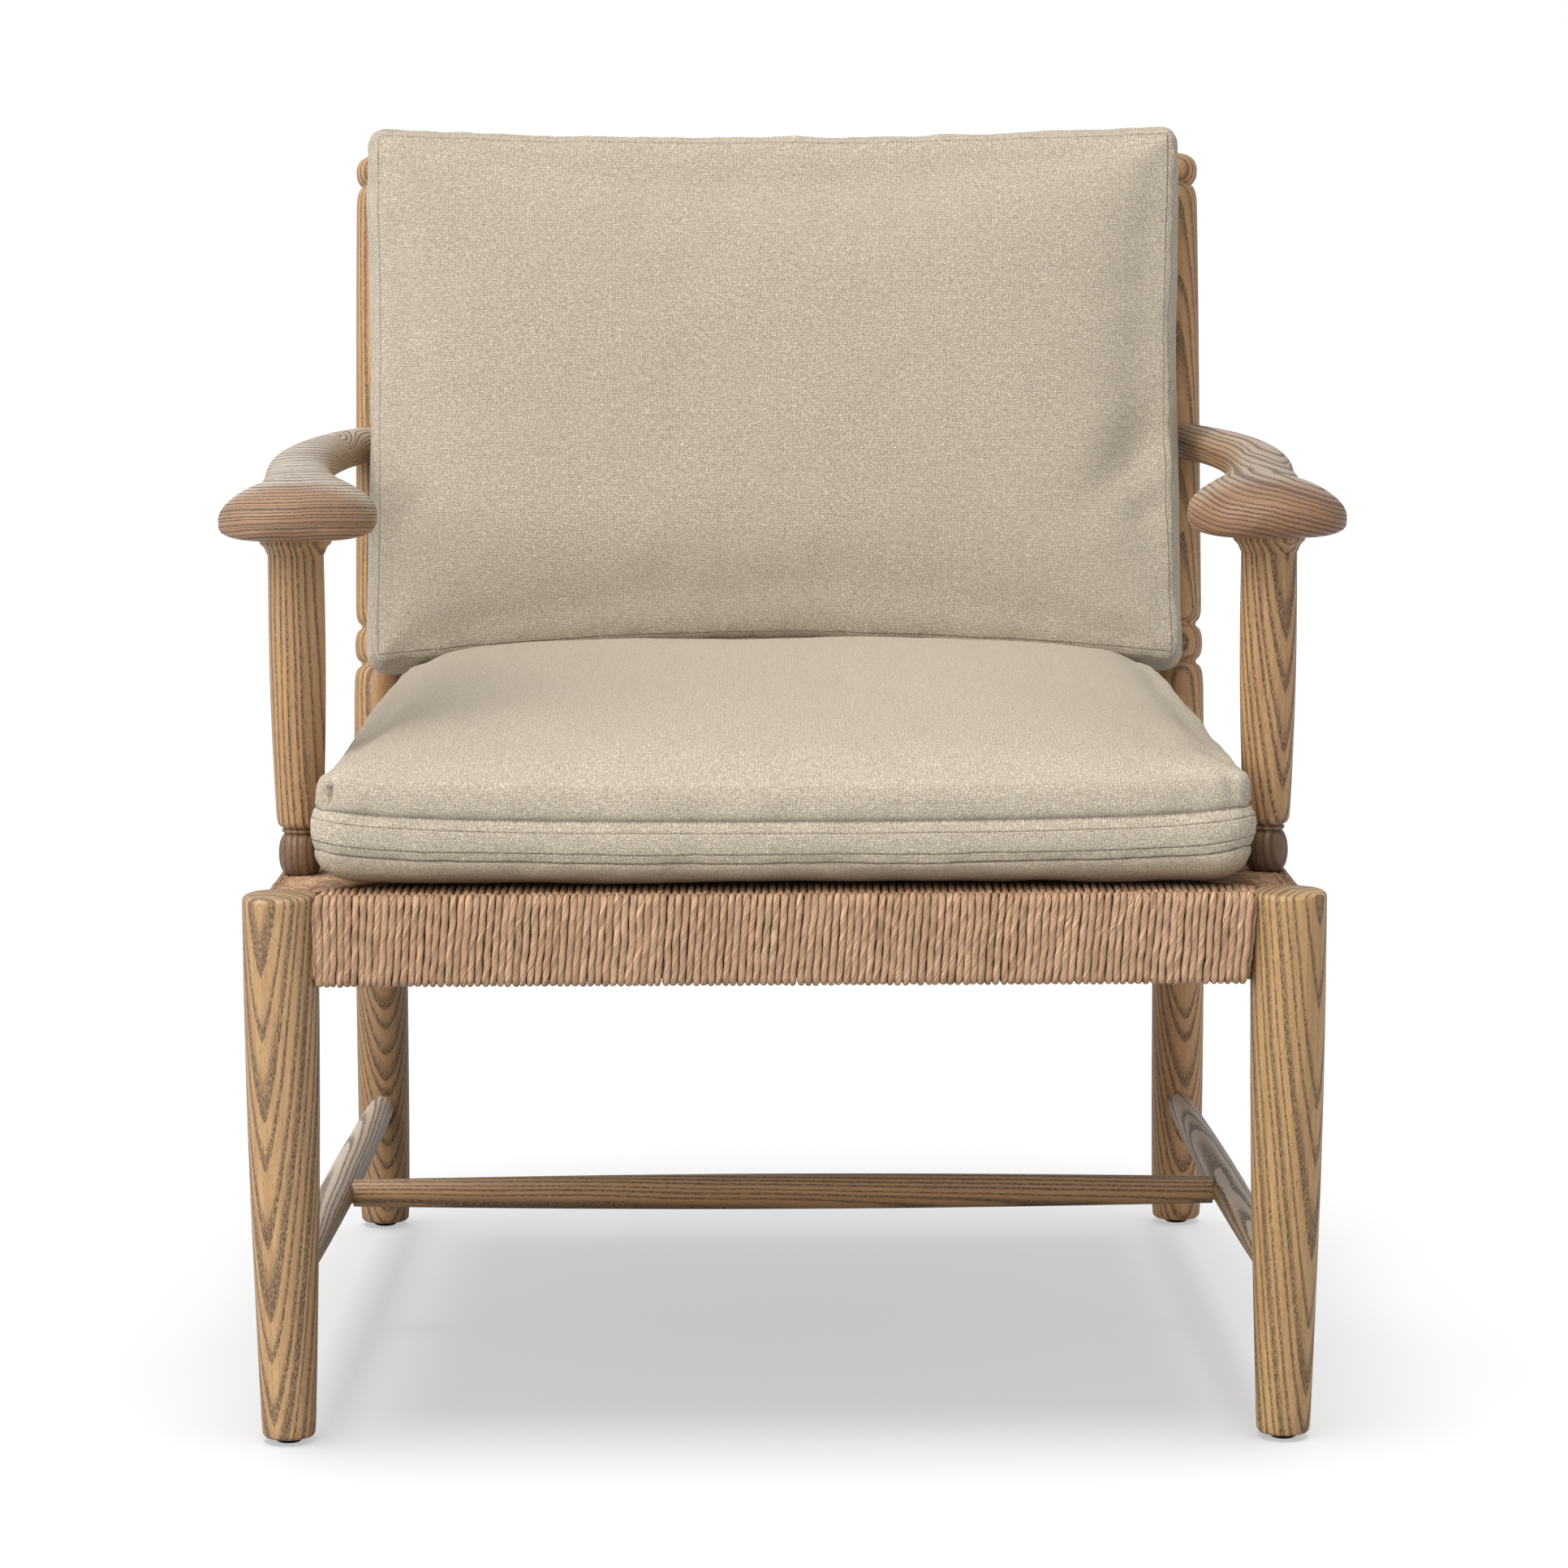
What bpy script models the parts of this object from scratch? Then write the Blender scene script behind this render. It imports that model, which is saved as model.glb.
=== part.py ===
"""Armchair: a turned wooden frame with a woven cord seat, sculpted arms and two loose cushions.

Metres, +Z up. The chair faces -Y and its left is at -X. The origin is on the floor, under the
middle of the chair's box.
"""

import math

import bmesh
import bpy
from mathutils import Matrix, Vector

# Plan of the frame
FRONT_LEG_X = 0.332
FRONT_Y = -0.3686
FRAME_DEPTH = 0.630
REAR_POST_X = 0.3125
ARM_POST_BACK = 0.118

# Heights
LEG_FOOT_Z = 0.0042
LEG_TOP_Z = 0.3705
POST_TOP_Z = 0.8355
ARM_UNDERSIDE_Z = 0.5905
STRETCHER_Z = 0.100

# Rear posts: straight up to the seat, then leaning back
RECLINE = 0.205
BEND_Z = 0.270
BEND_HALF = 0.060
POST_R = 0.0195
POST_NECK_R = 0.0150

# Radii of the legs where the rails and the stretchers meet them
FRONT_LEG_R = 0.0249
REAR_LEG_R = 0.0207
FRONT_ANKLE_R = 0.0213
REAR_ANKLE_R = 0.0203

# Seat rails and the cord round them
RAIL_THICK = 0.024
FRONT_RAIL_Z = (0.314, 0.366)
SIDE_RAIL_Z = (0.3095, 0.3590)
CORD_LAYER = 0.005
LEAF_THICK = 0.010
RAIL_JOIN_Z = 0.335

# Joints
GAP = 0.0003
FRONT_TENON = (0.016, 0.014, 0.032)
REAR_TENON = (0.012, 0.012, 0.030)
STRETCHER_TENON_R = 0.0075
STRETCHER_TENON_START = 0.0080
CROSS_TENON_R = 0.0060
CROSS_TENON_START = 0.0030
ARM_TENON_R = 0.0075
ARM_TENON_Z = 0.6095
ARM_POST_FOOT_TENON_R = 0.0070
ARM_POST_HEAD_TENON_R = 0.0080
ARM_POST_HEAD_TENON_Z = 0.6080
NAIL_R = 0.0015
NAIL_TOP_Z = 0.0160

# Stretchers
STRETCHER_END_R = 0.0098
STRETCHER_SWELL = 0.0030
STRETCHER_SLOPE = 0.003
CROSS_BACK = 0.300

# Back slats
SLAT_CENTRES_Z = {"lower": 0.525, "middle": 0.652, "upper": 0.779}
SLAT_HEIGHT = 0.050
SLAT_THICK = 0.010
SLAT_BOW = 0.016
SLAT_TENON = 0.012

# Cushions
SEAT_CUSHION_Z = (0.3730, 0.4400)
SEAT_CUSHION_CROWN = 0.038
BACK_CUSHION_Z = (0.4400, 0.8540)
BACK_CUSHION_THICK = 0.100
BACK_CUSHION_HALF_WIDTH = 0.3135
CUSHION_CORNER_R = 0.030

REAR_Y = FRONT_Y + FRAME_DEPTH
SIDES = {"left": -1, "right": 1}


# ---------------------------------------------------------------- scene and materials

def clear_scene():
    for obj in list(bpy.data.objects):
        bpy.data.objects.remove(obj, do_unlink=True)


def material(name, colour, roughness, metallic=0.0):
    made = bpy.data.materials.new(name)
    made.use_nodes = True
    shader = made.node_tree.nodes["Principled BSDF"]
    shader.inputs["Base Color"].default_value = (*colour, 1.0)
    shader.inputs["Roughness"].default_value = roughness
    shader.inputs["Metallic"].default_value = metallic
    return made


def wood(name):
    return material(name, (0.38, 0.25, 0.14), 0.50)


def paper_cord(name):
    return material(name, (0.50, 0.31, 0.17), 0.80)


def linen(name):
    return material(name, (0.55, 0.47, 0.36), 0.90)


def glide_plastic(name):
    return material(name, (0.03, 0.03, 0.03), 0.45)


# ---------------------------------------------------------------- mesh helpers

def new_object(name, mesh, mat, location=(0, 0, 0)):
    obj = bpy.data.objects.new(name, mesh)
    obj.location = location
    bpy.context.scene.collection.objects.link(obj)
    if mat:
        mesh.materials.append(mat)
    return obj


def loft(name, rings, mat, location=(0, 0, 0), smooth_angle=50):
    """A closed solid through rings of points, each with the same count, capped at both ends."""
    bm = bmesh.new()
    loops = [[bm.verts.new(p) for p in ring] for ring in rings]
    count = len(loops[0])
    for low, high in zip(loops, loops[1:]):
        for i in range(count):
            j = (i + 1) % count
            bm.faces.new((low[i], low[j], high[j], high[i]))
    bm.faces.new(reversed(loops[0]))
    bm.faces.new(loops[-1])
    bmesh.ops.recalc_face_normals(bm, faces=bm.faces)
    mesh = bpy.data.meshes.new(name)
    bm.to_mesh(mesh)
    bm.free()
    mesh.shade_smooth()
    mesh.set_sharp_from_angle(angle=math.radians(smooth_angle))
    return new_object(name, mesh, mat, location)


def circle(radius, centre, across, up, segments):
    ring = []
    for i in range(segments):
        turn = 2 * math.pi * i / segments
        ring.append(centre + across * (radius * math.cos(turn)) + up * (radius * math.sin(turn)))
    return ring


def turned(name, profile, mat, location=(0, 0, 0), segments=16, axis=None):
    """A turned solid. profile is (distance, radius) pairs along axis(distance) -> (point, direction)."""
    rings = []
    for along, radius in profile:
        point, direction = axis(along) if axis else (Vector((0, 0, along)), Vector((0, 0, 1)))
        side = Vector((0, 0, 1)) if abs(direction.z) < 0.5 else Vector((1, 0, 0))
        across = direction.cross(side).normalized()
        rings.append(circle(radius, point, across, direction.cross(across), segments))
    return loft(name, rings, mat, location)


def box(name, low, high, mat=None, location=(0, 0, 0), bevel=0.0):
    """A box between two corners, its edges rounded by bevel."""
    bm = bmesh.new()
    bmesh.ops.create_cube(bm, size=1.0)
    low, high = Vector(low), Vector(high)
    for vert in bm.verts:
        vert.co = Vector(((vert.co[i] + 0.5) * (high[i] - low[i]) + low[i] for i in range(3)))
    if bevel:
        bmesh.ops.bevel(bm, geom=bm.edges[:], offset=bevel, segments=2, profile=0.5, affect="EDGES")
    mesh = bpy.data.meshes.new(name)
    bm.to_mesh(mesh)
    bm.free()
    return new_object(name, mesh, mat, location)


def prism(name, outline, low, high, mat=None):
    """An upright prism over a plan outline that runs anticlockwise."""
    rings = [[Vector((x, y, z)) for x, y in outline] for z in (low, high)]
    return loft(name, rings, mat)


def cut(target, cutter):
    """Cuts cutter out of target with an exact Boolean, and keeps the cutter as a hidden helper."""
    cutter.hide_render = True
    cutter.display_type = "WIRE"
    boolean = target.modifiers.new("cut_" + cutter.name, "BOOLEAN")
    boolean.operation = "DIFFERENCE"
    boolean.solver = "EXACT"
    boolean.object = cutter


def join(target, addition):
    """Adds addition to target with an exact Boolean, and keeps it as a hidden helper."""
    addition.hide_render = True
    addition.display_type = "WIRE"
    boolean = target.modifiers.new("join_" + addition.name, "BOOLEAN")
    boolean.operation = "UNION"
    boolean.solver = "EXACT"
    boolean.object = addition


def straight_axis(start, end):
    """An axis for turned(): distance along the line from start to end."""
    start, end = Vector(start), Vector(end)
    direction = (end - start).normalized()
    return lambda along: (start + direction * along, direction)


def arc_profile(start, end, centre, steps):
    """Profile points on a circular arc about centre from start to end, all as (along, radius)."""
    first = math.atan2(start[1] - centre[1], start[0] - centre[0])
    last = math.atan2(end[1] - centre[1], end[0] - centre[0])
    reach = math.hypot(start[0] - centre[0], start[1] - centre[1])
    points = []
    for i in range(steps + 1):
        turn = first + (last - first) * i / steps
        points.append((centre[0] + reach * math.cos(turn), centre[1] + reach * math.sin(turn)))
    return points


# ---------------------------------------------------------------- the rear post's line

def post_setback(z):
    """How far the rear post's axis stands behind its foot at height z."""
    from_bend = z - BEND_Z
    if from_bend <= -BEND_HALF:
        return 0.0
    if from_bend < BEND_HALF:
        return RECLINE * (from_bend + BEND_HALF) ** 2 / (4 * BEND_HALF)
    return RECLINE * from_bend


def post_axis(z):
    step = 0.001
    rise = (post_setback(z + step) - post_setback(z - step)) / (2 * step)
    return Vector((0, post_setback(z), z)), Vector((0, rise, 1)).normalized()


def post_y(z):
    return REAR_Y + post_setback(z)


# ---------------------------------------------------------------- legs, posts and glides

def front_leg_profile():
    """Thickest below the rail, tapering faster towards the foot, with a rounded top edge."""
    profile = [(LEG_FOOT_Z, 0.0165), (0.0060, 0.0176)]
    for z, radius in ((0.030, 0.0187), (0.095, 0.0208), (0.175, 0.0231), (0.250, 0.0244), (0.315, 0.0249)):
        profile.append((z, radius))
    edge = 0.0040
    rim = (LEG_TOP_Z - edge, 0.0248 - edge)
    profile += arc_profile((rim[0], 0.0248), (LEG_TOP_Z, rim[1]), rim, 3)
    profile.append((LEG_TOP_Z + 0.0008, 0.0080))
    return profile


def make_front_leg(side, sign):
    leg = turned(
        f"front_leg_{side}", front_leg_profile(), wood(f"oak_front_leg_{side}"),
        (sign * FRONT_LEG_X, FRONT_Y, 0), segments=24,
    )
    cut(leg, cross_tenon(f"mortise_front_{side}", sign, "front", GAP))
    cut(leg, side_tenon(f"mortise_side_front_{side}", sign, "front", GAP))
    cut(leg, stretcher(f"mortise_stretcher_front_{side}", sign, GAP))
    cut(leg, glide_nail(f"nail_hole_front_{side}", (sign * FRONT_LEG_X, FRONT_Y), GAP))


def rear_post_profile():
    """Leg, shoulder, bead, shaft and bun finial, parted by three narrow grooves."""
    neck = POST_NECK_R
    profile = [(LEG_FOOT_Z, 0.0172), (0.0060, 0.0184), (0.0300, 0.0193), (0.1200, 0.0201), (0.2100, 0.0203)]
    profile += [(BEND_Z - 0.020, 0.0205), (BEND_Z + 0.020, 0.0206), (0.3300, REAR_LEG_R), (0.4200, REAR_LEG_R)]
    profile += [(0.4320, 0.0200), (0.4375, 0.0180), (0.4402, neck), (0.4418, neck)]
    profile += [(0.4450, 0.0180), (0.4500, 0.0197), (0.4553, 0.0201), (0.4606, 0.0197), (0.4660, 0.0180)]
    profile += [(0.4690, neck), (0.4706, neck), (0.4740, 0.0178), (0.4800, 0.0193), (0.4880, POST_R)]
    profile += [(0.6400, POST_R), (0.7950, 0.0191), (0.8030, 0.0184), (0.8085, 0.0165), (0.8105, 0.0148)]
    profile += [(0.8128, 0.0168), (0.8175, 0.0189), (0.8225, 0.0193), (0.8280, 0.0180), (0.8325, 0.0140)]
    profile.append((POST_TOP_Z, 0.0060))
    return profile


def make_rear_post(side, sign):
    post = turned(
        f"rear_post_{side}", rear_post_profile(), wood(f"oak_rear_post_{side}"),
        (sign * REAR_POST_X, REAR_Y, 0), axis=post_axis,
    )
    cut(post, cross_tenon(f"mortise_rear_{side}", sign, "rear", GAP))
    cut(post, side_tenon(f"mortise_side_rear_{side}", sign, "rear", GAP))
    cut(post, stretcher(f"mortise_stretcher_rear_{side}", sign, GAP))
    cut(post, arm_tenon(f"mortise_arm_{side}", sign, GAP))
    for level, centre_z in SLAT_CENTRES_Z.items():
        cut(post, slat(f"mortise_slat_{level}_{side}", centre_z, GAP))
    cut(post, glide_nail(f"nail_hole_rear_{side}", (sign * REAR_POST_X, REAR_Y), GAP))


def arm_post_profile():
    """Tenon, ball foot, groove, long swelling body, flared collar and tenon."""
    foot = SIDE_RAIL_Z[1] + CORD_LAYER + GAP
    profile = [(RAIL_JOIN_Z, ARM_POST_FOOT_TENON_R), (foot, ARM_POST_FOOT_TENON_R)]
    profile += [(foot, 0.0118), (foot + 0.0050, 0.0143)]
    profile += [(foot + 0.0105, 0.0156), (foot + 0.0165, 0.0152), (foot + 0.0210, 0.0136)]
    profile += [(0.3880, 0.0126), (0.3905, 0.0138), (0.3950, 0.0153), (0.4165, 0.0168), (0.4400, 0.0175)]
    profile += [(0.4700, 0.0184), (0.5000, 0.0191), (0.5300, 0.0193), (0.5650, 0.0192), (0.5790, 0.0192)]
    profile += [(0.5822, 0.0198), (0.5858, 0.0213), (0.5885, 0.0231), (ARM_UNDERSIDE_Z - GAP, 0.0233)]
    profile += [(ARM_UNDERSIDE_Z - GAP, ARM_POST_HEAD_TENON_R), (ARM_POST_HEAD_TENON_Z, ARM_POST_HEAD_TENON_R)]
    return profile


def arm_post_place(sign):
    y = FRONT_Y + ARM_POST_BACK
    return side_line(sign, y), y


def make_arm_post(side, sign):
    x, y = arm_post_place(sign)
    turned(f"arm_post_{side}", arm_post_profile(), wood(f"oak_arm_post_{side}"), (x, y, 0))


def glide_nail(name, place, extra=0.0):
    """The nail of a glide, or with extra its hole."""
    start = -0.001 if extra else 0.003
    profile = [(start, NAIL_R + extra), (NAIL_TOP_Z + extra, NAIL_R + extra)]
    return turned(name, profile, None, (*place, 0), segments=10)


def make_glide(end, side, place):
    profile = [(0.0, 0.0078), (0.0008, 0.0088), (LEG_FOOT_Z - GAP, 0.0095)]
    nylon = glide_plastic(f"nylon_{end}_{side}")
    glide = turned(f"glide_{end}_{side}", profile, nylon, (*place, 0))
    join(glide, glide_nail(f"nail_{end}_{side}", place))


# ---------------------------------------------------------------- rails and stretchers

def cross_end(end):
    """Inner face of the leg that a front or rear rail meets, the rail's Y, and its tenon's size."""
    if end == "front":
        return FRONT_LEG_X - FRONT_LEG_R, FRONT_Y, FRONT_TENON
    return REAR_POST_X - REAR_LEG_R, post_y(sum(FRONT_RAIL_Z) / 2), REAR_TENON


def cross_tenon(name, sign, end, extra=0.0):
    """A tenon of the front or rear rail, or with extra its mortise."""
    inner, y, (depth, width, height) = cross_end(end)
    z = sum(FRONT_RAIL_Z) / 2
    start, stop = sorted((sign * (inner - 0.010), sign * (inner + depth + extra)))
    low = (start, y - width / 2 - extra, z - height / 2 - extra)
    high = (stop, y + width / 2 + extra, z + height / 2 + extra)
    return box(name, low, high)


def side_line(sign, y):
    """X of a side rail's centre line at y."""
    share = (y - FRONT_Y) / (post_y(RAIL_JOIN_Z) - FRONT_Y)
    return sign * (FRONT_LEG_X + (REAR_POST_X - FRONT_LEG_X) * share)


def side_prism(name, sign, start_y, end_y, half, low, high, mat=None):
    """A prism of the given half thickness along a side rail's centre line."""
    near, far = side_line(sign, start_y), side_line(sign, end_y)
    outline = [(near - half, start_y), (near + half, start_y), (far + half, end_y), (far - half, end_y)]
    return prism(name, outline, low, high, mat)


def side_tenon(name, sign, end, extra=0.0):
    """The front or rear tenon of a side rail, or with extra its mortise."""
    middle = sum(SIDE_RAIL_Z) / 2
    if end == "front":
        depth, width, height = FRONT_TENON
        start = FRONT_Y + FRONT_LEG_R - depth - extra
        span = (start, FRONT_Y + 0.0350)
    else:
        depth, width, height = REAR_TENON
        face = post_y(RAIL_JOIN_Z) - REAR_LEG_R
        span = (face - 0.010, face + depth + extra)
    low, high = middle - height / 2 - extra, middle + height / 2 + extra
    return side_prism(name, sign, *span, width / 2 + extra, low, high)


def make_cross_rail(end):
    """The front or rear seat rail, with a tenon at each end."""
    inner, y, _ = cross_end(end)
    half = inner - GAP
    low = (-half, y - RAIL_THICK / 2, FRONT_RAIL_Z[0])
    high = (half, y + RAIL_THICK / 2, FRONT_RAIL_Z[1])
    rail = box(f"seat_rail_{end}", low, high, wood(f"oak_seat_rail_{end}"), bevel=0.003)
    for side, sign in SIDES.items():
        join(rail, cross_tenon(f"tenon_{end}_{side}", sign, end))


def make_side_rail(side, sign):
    start = FRONT_Y + FRONT_LEG_R + GAP
    end = post_y(SIDE_RAIL_Z[0]) - REAR_LEG_R - 2 * GAP
    oak = wood(f"oak_seat_rail_{side}")
    rail = side_prism(f"seat_rail_{side}", sign, start, end, RAIL_THICK / 2, *SIDE_RAIL_Z, oak)
    for place in ("front", "rear"):
        join(rail, side_tenon(f"tenon_{side}_{place}", sign, place))
    x, y = arm_post_place(sign)
    radius = ARM_POST_FOOT_TENON_R + GAP
    hole = [(RAIL_JOIN_Z - GAP, radius), (0.400, radius)]
    cut(rail, turned(f"arm_post_socket_{side}", hole, None, (x, y, 0)))


def stretcher_ends(sign):
    """Where a side stretcher's axis meets the two legs' axes."""
    front = Vector((sign * FRONT_LEG_X, FRONT_Y, STRETCHER_Z + STRETCHER_SLOPE))
    rear = Vector((sign * REAR_POST_X, REAR_Y, STRETCHER_Z - STRETCHER_SLOPE))
    return front, rear


def swelling_bar(name, start, end, shoulders, tenon, extra, mat):
    """A round bar, thicker in the middle, with a tenon at each end. With extra, only its tenons."""
    length = (end - start).length
    inset, radius = tenon
    radius += extra
    profile = [(inset - extra, radius)]
    if not extra:
        first, last = shoulders[0], length - shoulders[1]
        profile.append((first, radius))
        steps = 8
        for i in range(steps + 1):
            share = i / steps
            swell = STRETCHER_SWELL * math.sin(math.pi * share)
            profile.append((first + (last - first) * share, STRETCHER_END_R + swell))
        profile.append((last, radius))
    profile.append((length - inset + extra, radius))
    return turned(name, profile, mat, axis=straight_axis(start, end))


def stretcher(name, sign, extra=0.0, mat=None):
    """A side stretcher, or with extra the shape of its mortises."""
    shoulders = (FRONT_ANKLE_R + GAP, REAR_ANKLE_R + GAP)
    tenon = (STRETCHER_TENON_START, STRETCHER_TENON_R)
    return swelling_bar(name, *stretcher_ends(sign), shoulders, tenon, extra, mat)


def cross_ends():
    """Where the cross stretcher's axis meets the side stretchers' axes."""
    front, rear = stretcher_ends(1)
    right = front.lerp(rear, CROSS_BACK / FRAME_DEPTH)
    return Vector((-right.x, right.y, right.z)), right


def cross_stretcher(name, extra=0.0, mat=None):
    """The stretcher across, or with extra the shape of its mortises."""
    shoulder = STRETCHER_END_R + STRETCHER_SWELL + 2 * GAP
    tenon = (CROSS_TENON_START, CROSS_TENON_R)
    return swelling_bar(name, *cross_ends(), (shoulder, shoulder), tenon, extra, mat)


def make_stretchers():
    for side, sign in SIDES.items():
        bar = stretcher(f"side_stretcher_{side}", sign, mat=wood(f"oak_side_stretcher_{side}"))
        cut(bar, cross_stretcher(f"mortise_cross_{side}", GAP))
    cross_stretcher("cross_stretcher", mat=wood("oak_cross_stretcher"))


# ---------------------------------------------------------------- back slats

def slat(name, centre_z, extra=0.0, mat=None):
    """A slat bowed backwards between the leaning posts, or with extra the shape of its mortises."""
    half = REAR_POST_X - POST_R + SLAT_TENON + extra
    lean = Vector((0, RECLINE, 1)).normalized()
    back = Vector((0, 1, -RECLINE)).normalized()
    rings = []
    steps = 12
    for i in range(steps + 1):
        x = -half + 2 * half * i / steps
        bow = SLAT_BOW * (1 - (x / half) ** 2)
        middle = Vector((x, post_y(centre_z), centre_z)) + back * bow
        ring = []
        for across, up in ((-1, -1), (1, -1), (1, 1), (-1, 1)):
            thick, high = SLAT_THICK / 2 + extra, SLAT_HEIGHT / 2 + extra
            ring.append(middle + back * (across * thick) + lean * (up * high))
        rings.append(ring)
    return loft(name, rings, mat, smooth_angle=30)


def make_slats():
    for level, centre_z in SLAT_CENTRES_Z.items():
        slat(f"back_slat_{level}", centre_z, mat=wood(f"oak_back_slat_{level}"))


# ---------------------------------------------------------------- armrests

def curve_through(points, samples):
    """Points on a Catmull-Rom curve through the given 2D or 3D points."""
    ends = [points[0] * 2 - points[1], *points, points[-1] * 2 - points[-2]]
    made = []
    for i in range(samples + 1):
        along = (len(points) - 1) * i / samples
        span = min(int(along), len(points) - 2)
        t = along - span
        a, b, c, d = ends[span:span + 4]
        square, cube = 2 * a - 5 * b + 4 * c - d, 3 * b - a - 3 * c + d
        made.append(0.5 * (2 * b + (c - a) * t + square * t ** 2 + cube * t ** 3))
    return made


# Along the arm: distance out from the middle, distance behind the front legs, half width,
# height of the underside and of the top
ARM_STATIONS = (
    (0.3245, 0.0520, 0.0120, 0.5990, 0.6100),
    (0.3248, 0.0580, 0.0270, 0.5945, 0.6165),
    (0.3252, 0.0700, 0.0425, 0.5905, 0.6220),
    (0.3256, 0.0900, 0.0520, 0.5905, 0.6255),
    (0.3258, 0.1100, 0.0532, 0.5905, 0.6272),
    (0.3262, 0.1400, 0.0525, 0.5905, 0.6278),
    (0.3285, 0.1800, 0.0465, 0.5908, 0.6272),
    (0.3345, 0.2300, 0.0395, 0.5915, 0.6260),
    (0.3430, 0.3000, 0.0330, 0.5925, 0.6250),
    (0.3520, 0.3800, 0.0280, 0.5935, 0.6242),
    (0.3565, 0.4600, 0.0245, 0.5942, 0.6238),
    (0.3550, 0.5300, 0.0222, 0.5948, 0.6235),
    (0.3475, 0.5950, 0.0205, 0.5950, 0.6235),
    (0.3350, 0.6500, 0.0190, 0.5950, 0.6235),
    (0.3125, 0.7100, 0.0180, 0.5950, 0.6235),
)
ARM_EDGE_SHARE = 0.34
ARM_RINGS = 30


def arm_ring(sign, station, heading, points=16):
    """One cross-section of an arm: flat below, widest a third of the way up, domed above."""
    x, y, half, low, high = station
    edge = low + (high - low) * ARM_EDGE_SHARE
    across = Vector((heading.y, -heading.x, 0)).normalized()
    centre = Vector((sign * x, FRONT_Y + y, 0))
    ring = []
    for i in range(points):
        turn = 2 * math.pi * (i + 0.5) / points
        out, up = math.cos(turn), math.sin(turn)
        if up >= 0:
            out = math.copysign(abs(out) ** 0.85, out)
            z = edge + (high - edge) * up ** 0.90
        else:
            out = math.copysign(abs(out) ** 0.55, out)
            z = edge + (low - edge) * abs(up) ** 0.45
        ring.append(centre + across * (out * half) + Vector((0, 0, z)))
    return ring


def arm_rings(sign):
    stations = curve_through([Vector((*s[:2], 0)) for s in ARM_STATIONS], ARM_RINGS)
    sizes = curve_through([Vector(s[2:]) for s in ARM_STATIONS], ARM_RINGS)
    rings = []
    for i, (place, size) in enumerate(zip(stations, sizes)):
        before, after = stations[max(0, i - 1)], stations[min(len(stations) - 1, i + 1)]
        heading = Vector((sign * (after.x - before.x), after.y - before.y, 0))
        rings.append(arm_ring(sign, (place.x, place.y, *size), heading))
    return rings


def arm_tenon(name, sign, extra=0.0):
    """The round tenon that enters the rear post from an arm's end, or with extra its mortise."""
    out, back = ARM_STATIONS[-2][0], ARM_STATIONS[-2][1]
    start = Vector((sign * out, FRONT_Y + back, ARM_TENON_Z))
    end = Vector((sign * REAR_POST_X, post_y(ARM_TENON_Z), ARM_TENON_Z))
    reach = (end - start).length + 0.002 + extra
    profile = [(0.012, ARM_TENON_R + extra), (reach, ARM_TENON_R + extra)]
    return turned(name, profile, None, axis=straight_axis(start, end))


def make_armrest(side, sign):
    arm = loft(f"armrest_{side}", arm_rings(sign), wood(f"oak_armrest_{side}"))
    clear = [(z, POST_R + GAP) for z in (0.500, 0.640, 0.700)]
    place = (sign * REAR_POST_X, REAR_Y, 0)
    cut(arm, turned(f"arm_cope_{side}", clear, None, place, axis=post_axis))
    low, high = (-0.060, 0.0, 0.500), (0.060, 0.120, 0.700)
    cut(arm, box(f"arm_end_{side}", low, high, location=(sign * REAR_POST_X, post_y(ARM_TENON_Z), 0)))
    join(arm, arm_tenon(f"arm_tenon_{side}", sign))
    x, y = arm_post_place(sign)
    radius = ARM_POST_HEAD_TENON_R + GAP
    hole = [(0.500, radius), (ARM_POST_HEAD_TENON_Z + GAP, radius)]
    cut(arm, turned(f"arm_post_hole_{side}", hole, None, (x, y, 0)))


# ---------------------------------------------------------------- woven seat

def weave_corner(sign, end):
    """Centre of the corner where a side rail meets the front or rear rail."""
    if end == "front":
        return Vector((sign * FRONT_LEG_X, FRONT_Y))
    return Vector((sign * REAR_POST_X, post_y(RAIL_JOIN_Z)))


def weave_centre():
    """Where the diagonals of the woven seat cross."""
    front, rear = weave_corner(1, "front"), weave_corner(1, "rear")
    share = front.x / (front.x + rear.x)
    return Vector((0, front.y + (rear.y - front.y) * share))


def sector_outline(first, second, outward, reach):
    """Triangle from two corners to the seat's centre, and the rail's outer wrap beyond the corners."""
    middle = (first + second + weave_centre()) / 3
    inset = [corner + (middle - corner).normalized() * GAP for corner in (first, second, weave_centre())]
    edge = (second - first).normalized() * GAP
    first_in, second_in = inset[0] + edge * 0.5, inset[1] - edge * 0.5
    return [first_in + outward * reach, second_in + outward * reach, second_in, inset[2], first_in]


def leg_clearances(name):
    """Upright cutters a little larger than the legs and posts."""
    made = []
    upright = [(z, FRONT_LEG_R + GAP) for z in (0.250, 0.420)]
    leaning = [(z, REAR_LEG_R + GAP) for z in (0.260, 0.300, 0.330, 0.360, 0.420)]
    for side, sign in SIDES.items():
        corner = (sign * FRONT_LEG_X, FRONT_Y, 0)
        made.append(turned(f"{name}_front_{side}", upright, None, corner, segments=24))
        foot = (sign * REAR_POST_X, REAR_Y, 0)
        made.append(turned(f"{name}_rear_{side}", leaning, None, foot, axis=post_axis))
    return made


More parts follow.
